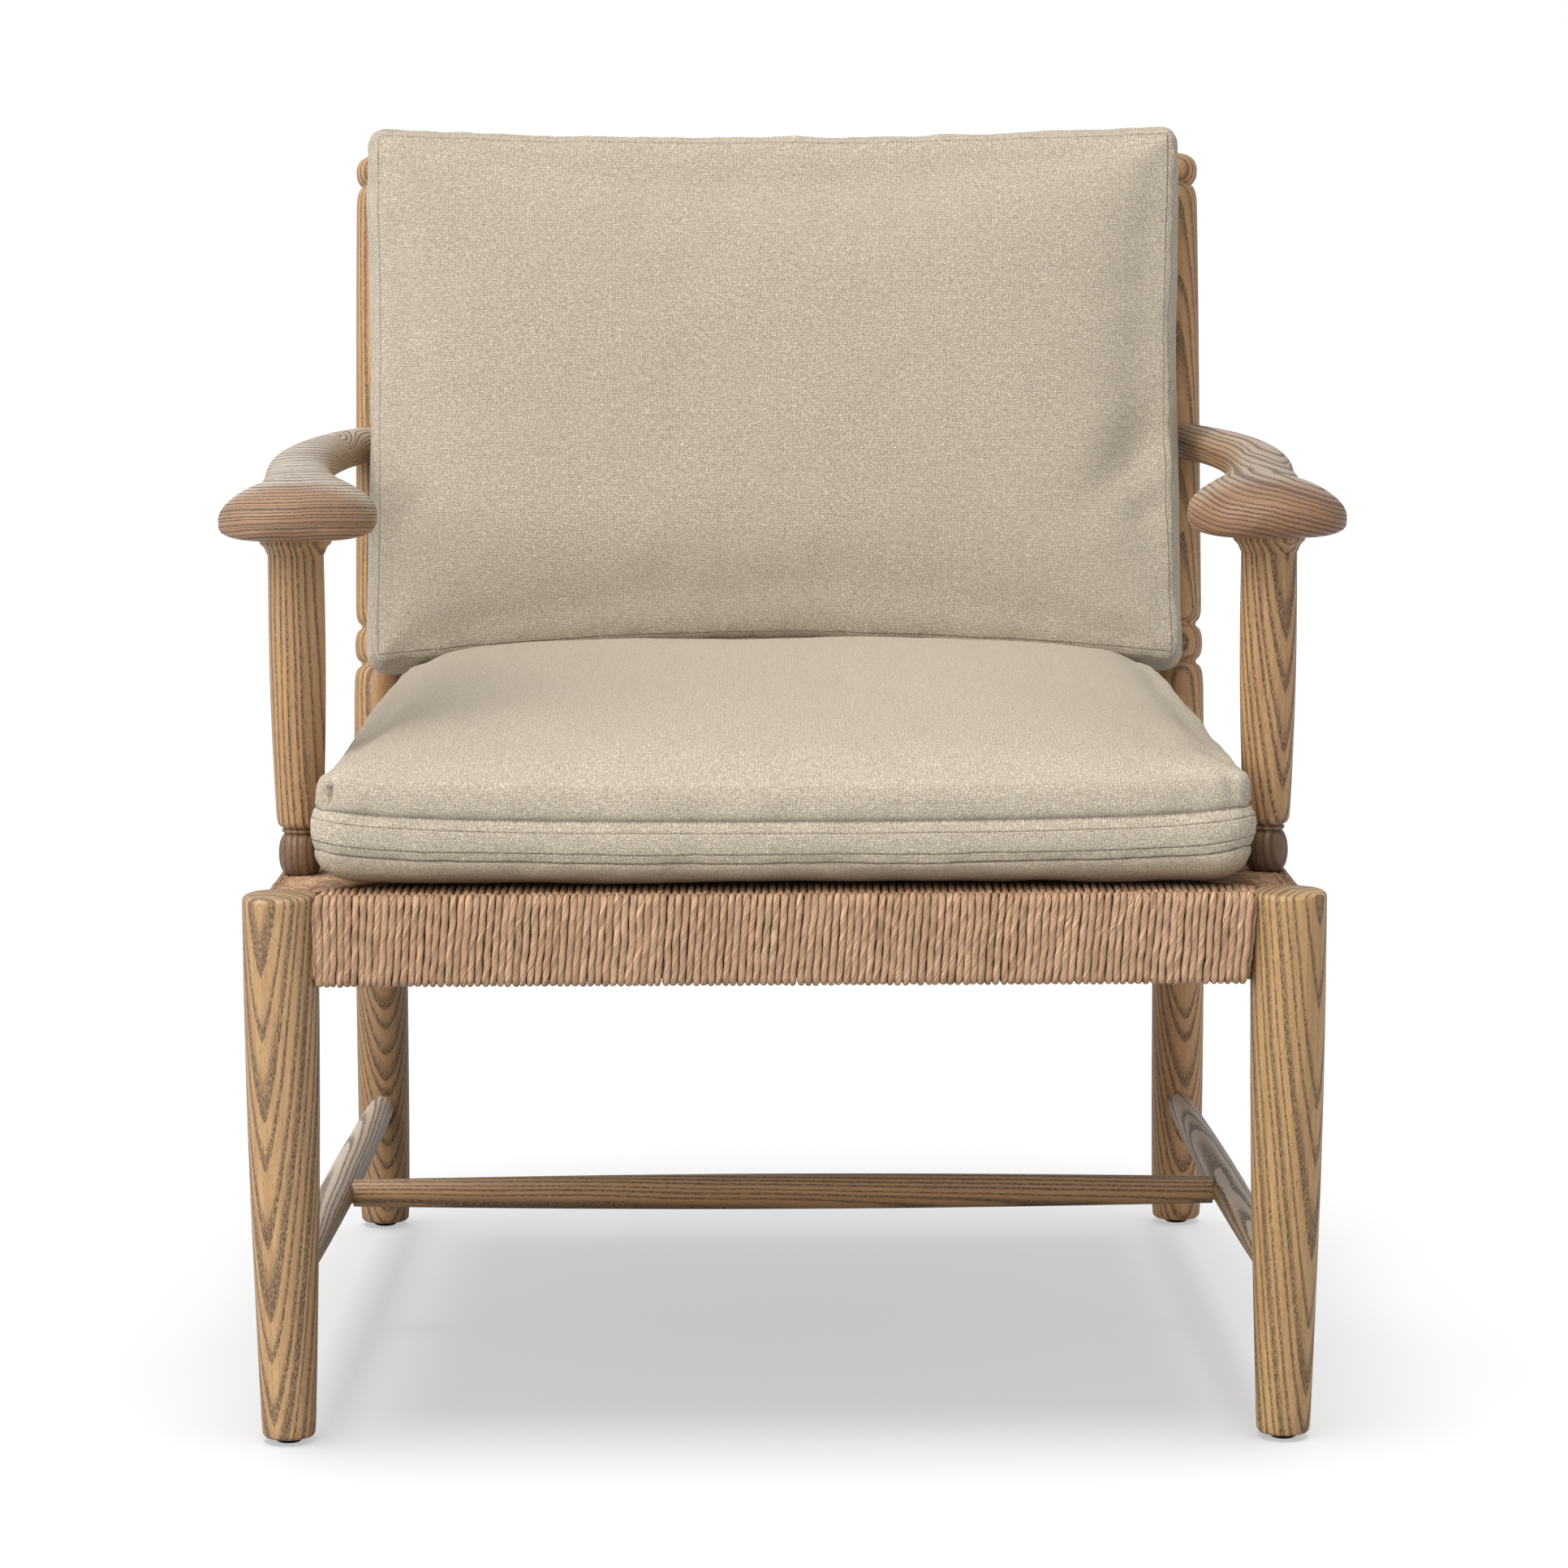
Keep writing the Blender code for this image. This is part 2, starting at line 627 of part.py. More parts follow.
def make_sector(end, first, second, rail_z, rail_cutter):
    """One sector of the weave: the wrap round its rail, and the upper and lower leaf to the centre."""
    outward = Vector((second.y - first.y, first.x - second.x)).normalized()
    reach = RAIL_THICK / 2 + CORD_LAYER
    low, high = rail_z[0] - CORD_LAYER, rail_z[1] + CORD_LAYER
    outline = [tuple(p) for p in sector_outline(first, second, outward, reach)]
    sector = prism(f"cord_weave_{end}", outline, low, high, paper_cord(f"paper_cord_{end}"))
    cut(sector, rail_cutter)
    inner = -outward
    along = (second - first).normalized()
    start, stop = first - along * 0.05, second + along * 0.05
    hollow = [start, stop, stop + inner * 0.40, start + inner * 0.40]
    void = prism(f"void_{end}", [tuple(p) for p in hollow], low + LEAF_THICK, high - LEAF_THICK)
    cut(sector, void)
    for clearance in leg_clearances(f"clear_{end}"):
        cut(sector, clearance)
    return sector


def rail_slot(end):
    """The space of the front or rear rail inside the cord."""
    half = RAIL_THICK / 2 + GAP
    _, y, _ = cross_end(end)
    low, high = FRONT_RAIL_Z[0] - GAP, FRONT_RAIL_Z[1] + GAP
    return box(f"rail_slot_{end}", (-0.40, y - half, low), (0.40, y + half, high))


def side_rail_slot(side, sign):
    """The space of a side rail inside the cord."""
    half = RAIL_THICK / 2 + GAP
    low, high = SIDE_RAIL_Z[0] - GAP, SIDE_RAIL_Z[1] + GAP
    return side_prism(f"rail_slot_{side}", sign, FRONT_Y - 0.05, REAR_Y + 0.08, half, low, high)


def make_weave():
    left = {end: weave_corner(-1, end) for end in ("front", "rear")}
    right = {end: weave_corner(1, end) for end in ("front", "rear")}
    make_sector("front", left["front"], right["front"], FRONT_RAIL_Z, rail_slot("front"))
    make_sector("rear", right["rear"], left["rear"], FRONT_RAIL_Z, rail_slot("rear"))
    sectors = {
        "left": make_sector("left", left["rear"], left["front"], SIDE_RAIL_Z, side_rail_slot("left", -1)),
        "right": make_sector("right", right["front"], right["rear"], SIDE_RAIL_Z, side_rail_slot("right", 1)),
    }
    radius = ARM_POST_FOOT_TENON_R + GAP
    for side, sign in SIDES.items():
        hole = [(RAIL_JOIN_Z, radius), (0.400, radius)]
        cut(sectors[side], turned(f"cord_hole_{side}", hole, None, (*arm_post_place(sign), 0)))


# ---------------------------------------------------------------- cushions

def rounded_outline(corners, radius, steps=4):
    """A polygon's corners rounded by arcs."""
    outline = []
    count = len(corners)
    for i, corner in enumerate(corners):
        before = (corners[i - 1] - corner).normalized()
        after = (corners[(i + 1) % count] - corner).normalized()
        for j in range(steps + 1):
            share = j / steps
            start, end = corner + before * radius, corner + after * radius
            outline.append(start * (1 - share) ** 2 + corner * 2 * share * (1 - share) + end * share ** 2)
    return outline


def shrink(outline, amount):
    middle = sum(outline, Vector((0, 0))) / len(outline)
    return [p + (middle - p).normalized() * amount for p in outline]


def make_seat_cushion():
    """Trapezoid cushion with rounded edges and a crown that falls away towards the back cushion."""
    front, rear = FRONT_Y - 0.010, FRONT_Y + 0.612
    corners = [Vector(p) for p in ((-0.3110, front), (0.3110, front), (0.2850, rear), (-0.2850, rear))]
    outline = rounded_outline(corners, CUSHION_CORNER_R)
    low, high = SEAT_CUSHION_Z
    centre = Vector((0, FRONT_Y + 0.36))
    rings = []
    edge = ((0.030, low), (0.010, low + 0.006), (0.0, low + 0.022), (0.0, high - 0.016), (0.012, high))
    for inset, z in edge:
        rings.append([Vector((*p, z)) for p in shrink(outline, inset)])
    for share in (0.25, 0.55, 0.85):
        ring = []
        for p in shrink(outline, 0.012):
            q = p.lerp(centre, share)
            ring.append(Vector((*q, high + SEAT_CUSHION_CROWN * math.sin(share * math.pi / 2))))
        rings.append(ring)
    loft("seat_cushion", rings, linen("linen_seat"))


def back_frame():
    """A point on the posts' front faces at the cushion's foot, and the directions up and out from it."""
    low = BACK_CUSHION_Z[0]
    up = Vector((0, RECLINE, 1)).normalized()
    out = Vector((0, -1, RECLINE)).normalized()
    face = Vector((0, post_y(low), low)) + out * (POST_R + 0.0020)
    return face, up, out


def make_back_cushion():
    """Box cushion that leans on the posts, crowned on both faces."""
    face, up, out = back_frame()
    height = (BACK_CUSHION_Z[1] - BACK_CUSHION_Z[0]) / up.z - BACK_CUSHION_THICK * 0.10
    half = BACK_CUSHION_HALF_WIDTH
    corners = [Vector(p) for p in ((-half, 0), (half, 0), (half, height), (-half, height))]
    outline = rounded_outline(corners, CUSHION_CORNER_R)
    middle = Vector((0, height / 2))
    thick = BACK_CUSHION_THICK
    rings = []
    for share, inset, depth in (
        (0.60, 0.030, 0.000), (0.0, 0.030, 0.002), (0.0, 0.006, 0.014), (0.0, 0.0, 0.030),
        (0.0, 0.0, thick - 0.042), (0.0, 0.010, thick - 0.026), (0.25, 0.010, thick - 0.012),
        (0.55, 0.010, thick - 0.003), (0.85, 0.010, thick),
    ):
        ring = []
        for p in shrink(outline, inset):
            q = p.lerp(middle, share)
            ring.append(face + Vector((q.x, 0, 0)) + up * q.y + out * depth)
        rings.append(ring)
    return loft("back_cushion", rings, linen("linen_back"))


# ---------------------------------------------------------------- assembly

def main():
    clear_scene()
    for side, sign in SIDES.items():
        make_front_leg(side, sign)
        make_rear_post(side, sign)
        make_arm_post(side, sign)
        make_armrest(side, sign)
        make_side_rail(side, sign)
        make_glide("front", side, (sign * FRONT_LEG_X, FRONT_Y))
        make_glide("rear", side, (sign * REAR_POST_X, REAR_Y))
    for end in ("front", "rear"):
        make_cross_rail(end)
    make_stretchers()
    make_slats()
    make_weave()
    make_seat_cushion()
    make_back_cushion()


main()
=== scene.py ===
import math
import random

import bmesh
import bpy
import numpy as np
from mathutils import Matrix, Vector, bvhtree, kdtree, noise


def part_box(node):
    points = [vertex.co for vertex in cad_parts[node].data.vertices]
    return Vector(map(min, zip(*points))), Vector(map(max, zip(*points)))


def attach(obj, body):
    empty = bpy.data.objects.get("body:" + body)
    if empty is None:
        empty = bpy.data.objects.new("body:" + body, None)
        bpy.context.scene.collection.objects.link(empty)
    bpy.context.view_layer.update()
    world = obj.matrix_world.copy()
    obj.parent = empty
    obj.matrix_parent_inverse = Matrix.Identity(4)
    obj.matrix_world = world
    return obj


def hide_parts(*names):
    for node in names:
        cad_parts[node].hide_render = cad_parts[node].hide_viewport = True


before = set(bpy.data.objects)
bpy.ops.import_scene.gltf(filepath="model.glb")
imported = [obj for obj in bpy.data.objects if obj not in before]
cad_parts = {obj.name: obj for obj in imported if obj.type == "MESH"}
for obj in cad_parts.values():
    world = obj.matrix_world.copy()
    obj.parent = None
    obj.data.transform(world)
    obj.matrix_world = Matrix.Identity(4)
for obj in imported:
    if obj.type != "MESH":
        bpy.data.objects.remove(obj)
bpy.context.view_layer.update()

# Plan of the frame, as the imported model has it
FRONT_Y = -0.3686
REAR_Y = FRONT_Y + 0.630
FRONT_LEG_X = 0.332
REAR_POST_X = 0.3125
RECLINE = 0.205
BEND_Z = 0.270
BEND_HALF = 0.060
POST_R = 0.0195
SIDES = {"left": -1, "right": 1}


# ---- shader nodes

def operator(operation, swapped=False):
    return lambda this, other: compute(operation, *((other, this) if swapped else (this, other)))


class Value:
    """A shader value. Arithmetic on it adds a Math node, or a Vector Math node for a vector."""

    __add__ = __radd__ = operator("ADD")
    __mul__ = __rmul__ = operator("MULTIPLY")
    __sub__, __rsub__ = operator("SUBTRACT"), operator("SUBTRACT", swapped=True)
    __truediv__ = operator("DIVIDE")

    def __init__(self, tree, socket):
        self.tree, self.socket = tree, socket


def put(socket, value):
    if isinstance(value, Value):
        value.tree.links.new(value.socket, socket)
    elif socket.type == "RGBA":
        socket.default_value = (*value, 1.0)
    else:
        socket.default_value = value


def feed(made, **values):
    """Sets or links a node's inputs, with _ for each space in a name."""
    for key, value in values.items():
        put(made.inputs[key.replace("_", " ")], value)


def node(tree, kind, inputs=(), out=0, **settings):
    """One output of a new node. Its inputs go by place, or by name or number in a dict."""
    made = tree.nodes.new("ShaderNode" + kind)
    for key, value in settings.items():
        setattr(made, key, value)
    for key, value in inputs.items() if isinstance(inputs, dict) else enumerate(inputs):
        put(made.inputs[key], value)
    return Value(tree, made.outputs[out])


def tree_of(*values):
    return next(value.tree for value in values if isinstance(value, Value))


def compute(operation, *values, **settings):
    flat = all(value.socket.type != "VECTOR" if isinstance(value, Value) else not isinstance(value, tuple)
               for value in values)
    out = "Value" if operation in ("DOT_PRODUCT", "LENGTH") else 0
    kind = "Math" if flat else "VectorMath"
    return node(tree_of(*values), kind, values, out, operation=operation, **settings)


def part(vector, axis):
    return node(vector.tree, "SeparateXYZ", [vector], axis)


def noise_of(vector, scale, detail=2.0, roughness=0.5, out="Fac"):
    """Noise of a vector multiplied by scale, a number or three."""
    scale = scale if isinstance(scale, tuple) else (scale,) * 3
    inputs = {"Vector": vector * scale, "Scale": 1.0, "Detail": detail, "Roughness": roughness}
    return node(vector.tree, "TexNoise", inputs, out)


def ramp(value, *stops, interpolation="LINEAR"):
    """A grey ramp through (place, level) stops."""
    made = node(value.tree, "ValToRGB", [value])
    band = made.socket.node.color_ramp
    band.interpolation = interpolation
    while len(band.elements) < len(stops):
        band.elements.new(0.5)
    for element, (place, level) in zip(band.elements, stops):
        element.position = place
        element.color = (level, level, level, 1.0)
    return made


def mix(share, first, second, blend="MIX"):
    inputs = {0: share, 6: first, 7: second}
    return node(tree_of(share, first, second), "Mix", inputs, 2, data_type="RGBA", blend_type=blend)


def bump(shader, height, distance, strength=1.0):
    inputs = {"Height": height, "Distance": distance, "Strength": strength}
    feed(shader, Normal=node(height.tree, "Bump", inputs))


def new_material(name):
    """A material, its shader and its object coordinates."""
    made = bpy.data.materials.new(name)
    made.use_nodes = True
    return made, made.node_tree.nodes["Principled BSDF"], node(made.node_tree, "TexCoord", out="Object")


# ---- wood

TAN = (0.47, 0.284, 0.134)
TAN_DEEP = (0.265, 0.145, 0.064)
PORE = (0.066, 0.041, 0.025)
# Whitish colour that wood() paints onto faces that look up: a painted sheen
SHEEN_COLOUR = (0.5, 0.425, 0.345)
SEAT_HEIGHT = 0.366


def wood(name, rings, side, crease=0.0, crest=0.0013, spacing=0.0044, grain=2, seed=0.0, tint=(1, 1, 1),
         wave=0.0012, bend=0.0, sheen_strength=0.12, swell=None, dark=0.95, brown=None, streaks=0.45, painted_light_above=None):
    """Brushed open-pored oak. rings is the direction in which the growth rings follow each other,
    side the direction across it in which they crease or bend, and grain the axis of the fibres."""
    made, shader, spot = new_material(name)
    moved = spot + (seed * 0.37, seed * 0.53, seed * 0.71)

    def stretched(across, along, detail=2.0, roughness=0.5, offset=None):
        """Noise with across features per metre across the fibres and along of them lengthwise."""
        scale = [across] * 3
        scale[grain] = along
        return noise_of(moved + offset if offset else moved, tuple(scale), detail, roughness)

    across = compute("DOT_PRODUCT", spot, side)
    square = across * across
    fold = compute("SQRT", square + crest ** 2)
    field = compute("DOT_PRODUCT", spot, rings) - fold * crease + square * bend
    field = field + (stretched(26, 6, 1.0) - 0.5) * (wave * 4) + (stretched(420, 92) - 0.5) * 0.0007
    if swell:
        place, height, reach = swell
        away = compute("LENGTH", spot - place)
        field = field + compute("POWER", math.e, away * away * (-1 / reach ** 2)) * height
    phase = field / spacing + (40.0 + seed * 3.3)
    inputs = {"W": phase * 0.8, "Scale": 1.0, "Detail": 1.0}
    uneven = node(phase.tree, "TexNoise", inputs, "Fac", noise_dimensions="1D")
    year = compute("FRACT", phase + uneven * 0.9)
    band = ramp(year, (0.0, 0.9), (0.05, 1.0), (0.24, 0.85), (0.4, 0.24), (0.56, 0.0), (0.95, 0.0),
                (1.0, 0.85))
    summer = ramp(year, (0.1, 0.0), (0.9, 1.0))
    speck = ramp(stretched(2000, 400, 1.5, 0.6), (0.4, 1.0), (0.58, 0.0))
    pores = compute("MULTIPLY", band, speck * 0.75 + 0.34, use_clamp=True)
    strewn = ramp(stretched(1500, 210, 1.0, offset=(1.7, 0.4, 0.9)), (0.64, 0.0), (0.71, 1.0))
    fibre = stretched(900, 22, 3.0, 0.65)
    streak = stretched(240, 5, 2.0, 0.6, (4.1, 2.2, 0.3))
    base = mix(summer * 0.4, TAN, TAN_DEEP)
    base = mix(ramp(fibre, (0.3, 0.6), (0.68, 0.0)), base, TAN_DEEP)
    base = mix(ramp(streak, (0.36, streaks), (0.58, 0.0)), base, TAN_DEEP)
    base = mix(ramp(stretched(17, 4, 3.0), (0.35, 0.0), (0.75, 0.5)), base, tuple(0.78 * c for c in TAN))
    # Faces that look up are whitened, the more the more they look up: a painted sheen
    up = part(node(phase.tree, "NewGeometry", out="Normal"), "Z")
    painted_sheen = ramp(up, (0.25, 0.0), (0.95, 1.0)) * sheen_strength + sheen_strength * 0.18
    if brown:
        place, reach, colour = brown
        away = compute("LENGTH", (spot - place) * tuple(1 / r for r in reach))
        zone = ramp(away, (0.6, 1.0), (1.0, 0.0), interpolation="EASE")
        patch = ramp(stretched(60, 25, 3.0, 0.6, (0.3, 5.1, 2.2)), (0.35, 0.75), (0.65, 1.0))
        base = mix(zone * patch, base, colour)
        painted_sheen = painted_sheen * (1.0 - zone * 0.9)
    base = mix(painted_sheen, base, SHEEN_COLOUR)
    base = mix(strewn * 0.45, base, PORE)
    base = mix(pores * dark, base, PORE)
    # Above the seat the wood takes a second tint: painted light and shade that differ above and below the
    # seat
    if painted_light_above:
        tint = mix(ramp(part(spot, "Z") / SEAT_HEIGHT - 0.5, (0.42, 0.0), (0.62, 1.0)), tint, painted_light_above)
    feed(shader, Base_Color=mix(1.0, base, tint, "MULTIPLY"), Roughness=pores * 0.25 + fibre * 0.14 + 0.34,
         Specular_IOR_Level=0.4)
    bump(shader, fibre * 0.25 - (pores + strewn * 0.3), 0.00045, 0.8)
    return made


# ---- pieces

def piece(name, mesh, mat, body="frame", nodes=(), matrix=None, smooth=40):
    obj = bpy.data.objects.new(name, mesh)
    bpy.context.scene.collection.objects.link(obj)
    mesh.materials.append(mat)
    if smooth is not None:
        mesh.shade_smooth()
        mesh.set_sharp_from_angle(angle=math.radians(smooth))
    if matrix is not None:
        obj.matrix_world = matrix
    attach(obj, body)
    if nodes:
        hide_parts(*nodes)
    return obj


def carried(name, mat):
    """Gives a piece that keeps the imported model's shape its material."""
    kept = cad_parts[name]
    kept.data.materials.clear()
    kept.data.materials.append(mat)


def skin(count, size):
    """The quads between count rings of size points."""
    k, i = np.meshgrid(np.arange(count - 1) * size, np.arange(size), indexing="ij")
    j = (i + 1) % size
    return np.stack([k + i, k + j, k + size + j, k + size + i], -1).reshape(-1, 4)


def lofted(name, rings):
    """A mesh through rings of points, closed round each ring and capped by a fan at both ends."""
    rings = np.asarray(rings, float)
    count, size = rings.shape[:2]
    points = np.concatenate([rings.reshape(-1, 3), rings[:1].mean(1), rings[-1:].mean(1)])
    faces = skin(count, size).tolist()
    for i, j, *_ in skin(2, size):
        faces += [(count * size, j, i), (count * size + 1, (count - 1) * size + i, (count - 1) * size + j)]
    mesh = bpy.data.meshes.new(name)
    mesh.from_pydata(points.tolist(), [], faces)
    return mesh


def tenths(*rows):
    """Rows of lengths written in tenths of a millimetre, in metres."""
    return [tuple(value / 10000 for value in row) for row in rows]


def eased(points, step):
    """(distance, radius) pairs every step or so on a curve through points that never overshoots."""
    z, r = np.array(points, float).T
    width = np.diff(z)
    slope = np.diff(r) / width
    tangent = np.zeros_like(r)
    for i in range(1, len(r) - 1):
        if slope[i - 1] * slope[i] > 0:
            a, b = 2 * width[i] + width[i - 1], width[i] + 2 * width[i - 1]
            tangent[i] = (a + b) / (a / slope[i - 1] + b / slope[i])
    tangent[0], tangent[-1] = slope[0], slope[-1]
    made = []
    for i, wide in enumerate(width):
        parts = max(3, int(wide / step))
        for t in np.arange(parts) / parts:
            square, cube = t ** 2, t ** 3
            share = 3 * square - 2 * cube
            lean = (cube - 2 * square + t) * tangent[i] + (cube - square) * tangent[i + 1]
            made.append((z[i] + wide * t, (1 - share) * r[i] + share * r[i + 1] + wide * lean))
    return made + [(z[-1], r[-1])]


def straight(along):
    return Vector((0, 0, along)), Vector((0, 0, 1))


def post_setback(z):
    """How far a rear post stands behind its foot at height z, and its slope there."""
    share = min(max(z - BEND_Z + BEND_HALF, 0.0), 2 * BEND_HALF)
    back = share ** 2 / (4 * BEND_HALF) + max(0.0, z - BEND_Z - BEND_HALF)
    return RECLINE * back, RECLINE * share / (2 * BEND_HALF)


def post_axis(along):
    back, slope = post_setback(along)
    return Vector((0, back, along)), Vector((0, slope, 1)).normalized()


def post_y(z):
    return REAR_Y + post_setback(z)[0]


def turned(name, profile, looks, matrix, axis=straight, segments=64, smooth=40):
    """A lathe-turned piece: profile is (distance along, radius) pairs, and looks what wood() takes."""
    rings = []
    for along, radius in profile:
        point, direction = axis(along)
        across = direction.cross(Vector((0, 1, 0))).normalized()
        over = direction.cross(across)
        turns = [2 * math.pi * i / segments for i in range(segments)]
        rings.append([point + (across * math.cos(a) + over * math.sin(a)) * radius for a in turns])
    piece(f"{name}_turned", lofted(f"{name}_turned", rings), wood(f"oak_{name}", **looks), nodes=[name],
          matrix=matrix, smooth=smooth)


LEG_TOP, LEG_TOP_R, LEG_DOME, LEG_CORNER = 0.3697, 0.0249, 0.0008, 0.004
FOOT, CAP_R = 0.0042, 0.002


def turned_legs():
    profile = [(FOOT, CAP_R)] + eased(tenths(
        (42, 165), (60, 176), (300, 187), (950, 208), (1750, 231), (2500, 244), (3150, 249),
        (3655, 249)), 0.004)
    for turn in np.radians(np.arange(15, 91, 15)):
        profile.append((LEG_TOP - LEG_CORNER * (1 - math.sin(turn)),
                        LEG_TOP_R - LEG_CORNER * (1 - math.cos(turn))))
    for share in (0.8, 0.6, 0.4, 0.2, 0.03):
        profile.append((LEG_TOP + LEG_DOME * (1 - share ** 2), (LEG_TOP_R - LEG_CORNER) * share))
    looks = {
        "left": dict(rings=(-0.454, -0.891, 0.112), side=(0.891, -0.454, 0), crease=0.34, seed=1.0,
                     spacing=0.006, tint=(1.19, 1.21, 1.2)),
        "right": dict(rings=(0.75, -0.66, 0.092), side=(0.66, 0.75, 0), crease=0.3, seed=2.3,
                      spacing=0.0056, tint=(1.12, 1.12, 1.0)),
    }
    for side, sign in SIDES.items():
        place = Matrix.Translation((sign * FRONT_LEG_X, FRONT_Y, 0))
        turned(f"front_leg_{side}", profile, dict(streaks=0.75, **looks[side]), place)


def rear_posts():
    profile = [(FOOT, CAP_R)] + eased(tenths(
        (42, 172), (60, 184), (300, 193), (1200, 201), (2100, 203), (2500, 205), (2900, 206),
        (3300, 207), (4200, 207), (4320, 200), (4375, 180), (4402, 150), (4418, 150), (4450, 180),
        (4500, 197), (4553, 201), (4606, 197), (4660, 180), (4690, 150), (4706, 150), (4740, 178),
        (4800, 193), (4880, 195), (6400, 195), (7950, 191), (8030, 184), (8085, 165), (8105, 148),
        (8128, 168), (8175, 189), (8225, 193), (8280, 180), (8325, 140), (8350, 70), (8355, 20)), 0.006)
    # The tints paint light and shade: each post is lighter above the seat, the left one darkened under it and
    # the right one brightened where it stands in shadow
    looks = {
        "left": dict(rings=(0.17, -0.985, 0.21), side=(0.985, 0.17, 0), crease=0.1, crest=0.008, seed=3.1,
                     tint=(0.82, 0.8, 0.77), painted_light_above=(1.16, 1.12, 1.06)),
        "right": dict(rings=(0.19, -0.98, 0.15), side=(0.98, 0.19, 0), crease=0.12, crest=0.007, seed=4.6,
                      tint=(1.42, 1.32, 1.24), painted_light_above=(1.16, 1.1, 1.04)),
    }
    for side, sign in SIDES.items():
        place = Matrix.Translation((sign * REAR_POST_X, REAR_Y, 0))
        turned(f"rear_post_{side}", profile, dict(spacing=0.004, **looks[side]), place, axis=post_axis)


def arm_posts():
    foot, head = 0.3643, 0.5946
    profile = [(foot, CAP_R)] + eased(tenths(
        (3643, 98), (3653, 114), (3685, 134), (3735, 146), (3785, 149), (3835, 145), (3885, 131),
        (3912, 115), (3920, 108), (3927, 112), (3937, 124), (3949, 124), (3957, 113), (3962, 112),
        (3968, 128), (3985, 146), (4015, 157), (4165, 166), (4400, 175), (4700, 184), (5000, 190),
        (5300, 192), (5650, 190), (5822, 189), (5826, 194), (5856, 206), (5880, 222), (5892, 236),
        (5901, 242), (5946, 245)), 0.006) + [(head, CAP_R)]
    looks = {
        "left": dict(rings=(0.96, -0.28, 0.02), side=(0.28, 0.96, 0), spacing=0.0043, seed=5.2, wave=0.0018),
        "right": dict(rings=(0.55, -0.83, 0.115), side=(0.83, 0.55, 0), crease=0.3, spacing=0.005, seed=6.9),
    }
    ball = ((0, 0, 0.376), (0.03, 0.03, 0.03), (0.125, 0.07, 0.04))
    for side in SIDES:
        low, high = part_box(f"arm_post_{side}")
        middle = (low + high) / 2
        shown = dict(dark=1.0, streaks=0.95, tint=(1.16, 1.12, 1.06), brown=ball, **looks[side])
        turned(f"arm_post_{side}", profile, shown, Matrix.Translation((middle.x, middle.y, 0)), smooth=50)


def laid(start, end):
    """Local Z along a lying piece, local X level."""
    along = (end - start).normalized()
    level = along.cross(Vector((0, 0, 1))).normalized()
    matrix = Matrix((level, along.cross(level), along)).transposed().to_4x4()
    matrix.translation = start
    return matrix


BAR_R, BAR_SWELL, BAR_TENON_R, BAR_TENON = 0.0098, 0.003, 0.0075, 0.008


def stretchers():
    def bar(name, start, end, shoulders, looks):
        first, last = shoulders[0], (end - start).length - shoulders[1]
        profile = [(first - BAR_TENON, BAR_TENON_R), (first, BAR_TENON_R)]
        for share in np.linspace(0, 1, 41):
            profile.append((first + (last - first) * share, BAR_R + BAR_SWELL * math.sin(math.pi * share)))
        profile += [(last, BAR_TENON_R), (last + BAR_TENON, BAR_TENON_R)]
        turned(name, profile, looks, laid(start, end), segments=48)

    ends = []
    for side, sign in SIDES.items():
        start, end = Vector((sign * FRONT_LEG_X, FRONT_Y, 0.103)), Vector((sign * REAR_POST_X, REAR_Y, 0.097))
        ends.append(start.lerp(end, 0.3 / 0.63))
        bar(f"side_stretcher_{side}", start, end, (0.0208, 0.0198),
            dict(rings=(0.5, 0.85, 0.02), side=(0.85, -0.5, 0), spacing=0.003, seed=7.0 + sign, sheen_strength=0.75))
    bar("cross_stretcher", *ends, (0.0122, 0.0122),
        dict(rings=(-0.62, -0.78, 0.018), side=(0.78, -0.62, 0), spacing=0.0034, seed=9.4, sheen_strength=0.35,
             tint=(1.02, 0.96, 0.9)))


def slats():
    half, thick, high, corner, bow = REAR_POST_X - POST_R + 0.01, 0.005, 0.025, 0.003, 0.016
    lean, back = Vector((0, RECLINE, 1)).normalized(), Vector((0, 1, -RECLINE)).normalized()
    section = []
    for cx, cy, first in ((1, 1, 0), (-1, 1, 90), (-1, -1, 180), (1, -1, 270)):
        for turn in np.radians(first + 22.5 * np.arange(5)):
            section.append((cx * (thick - corner) + corner * math.cos(turn),
                            cy * (high - corner) + corner * math.sin(turn)))
    for number, (level, z) in enumerate((("lower", 0.525), ("middle", 0.652), ("upper", 0.779))):
        rings = []
        for x in np.linspace(-half, half, 61):
            middle = Vector((x, post_y(z), z)) + back * (bow * (1 - (x / 0.305) ** 2))
            rings.append([middle + back * a + lean * b for a, b in section])
        mat = wood(f"oak_back_slat_{level}", rings=(0.012, 0.35, 0.94), side=(0, 0.94, -0.35), grain=0,
                   spacing=0.004, seed=11.0 + number, bend=6.0)
        piece(f"back_slat_{level}_bowed", lofted(level, rings), mat, nodes=[f"back_slat_{level}"])


# ---- arms

# Along the arm: distance out from the middle, distance behind the front legs, half width,
# height of the underside and of the top
ARM_STATIONS = tenths(
    (3245, 510, 120, 6040, 6140), (3248, 560, 270, 5985, 6210), (3252, 680, 420, 5955, 6268),
    (3256, 880, 512, 5950, 6306), (3258, 1100, 522, 5950, 6323), (3256, 1450, 502, 5950, 6326),
    (3265, 1850, 415, 5950, 6312), (3325, 2350, 352, 5952, 6296), (3405, 3000, 300, 5958, 6282),
    (3487, 3800, 252, 5968, 6272), (3555, 4600, 240, 5978, 6268), (3550, 5300, 218, 5986, 6264),
    (3475, 5950, 203, 5993, 6262), (3350, 6500, 190, 5995, 6262), (3125, 7100, 180, 5995, 6262),
)
ARM_RINGS, ARM_SIDES = 150, 56
# How square an arm's section is across and upright, above its widest line and below it
ARM_ABOVE, ARM_BELOW = (0.98, 1.02), (0.55, 0.45)


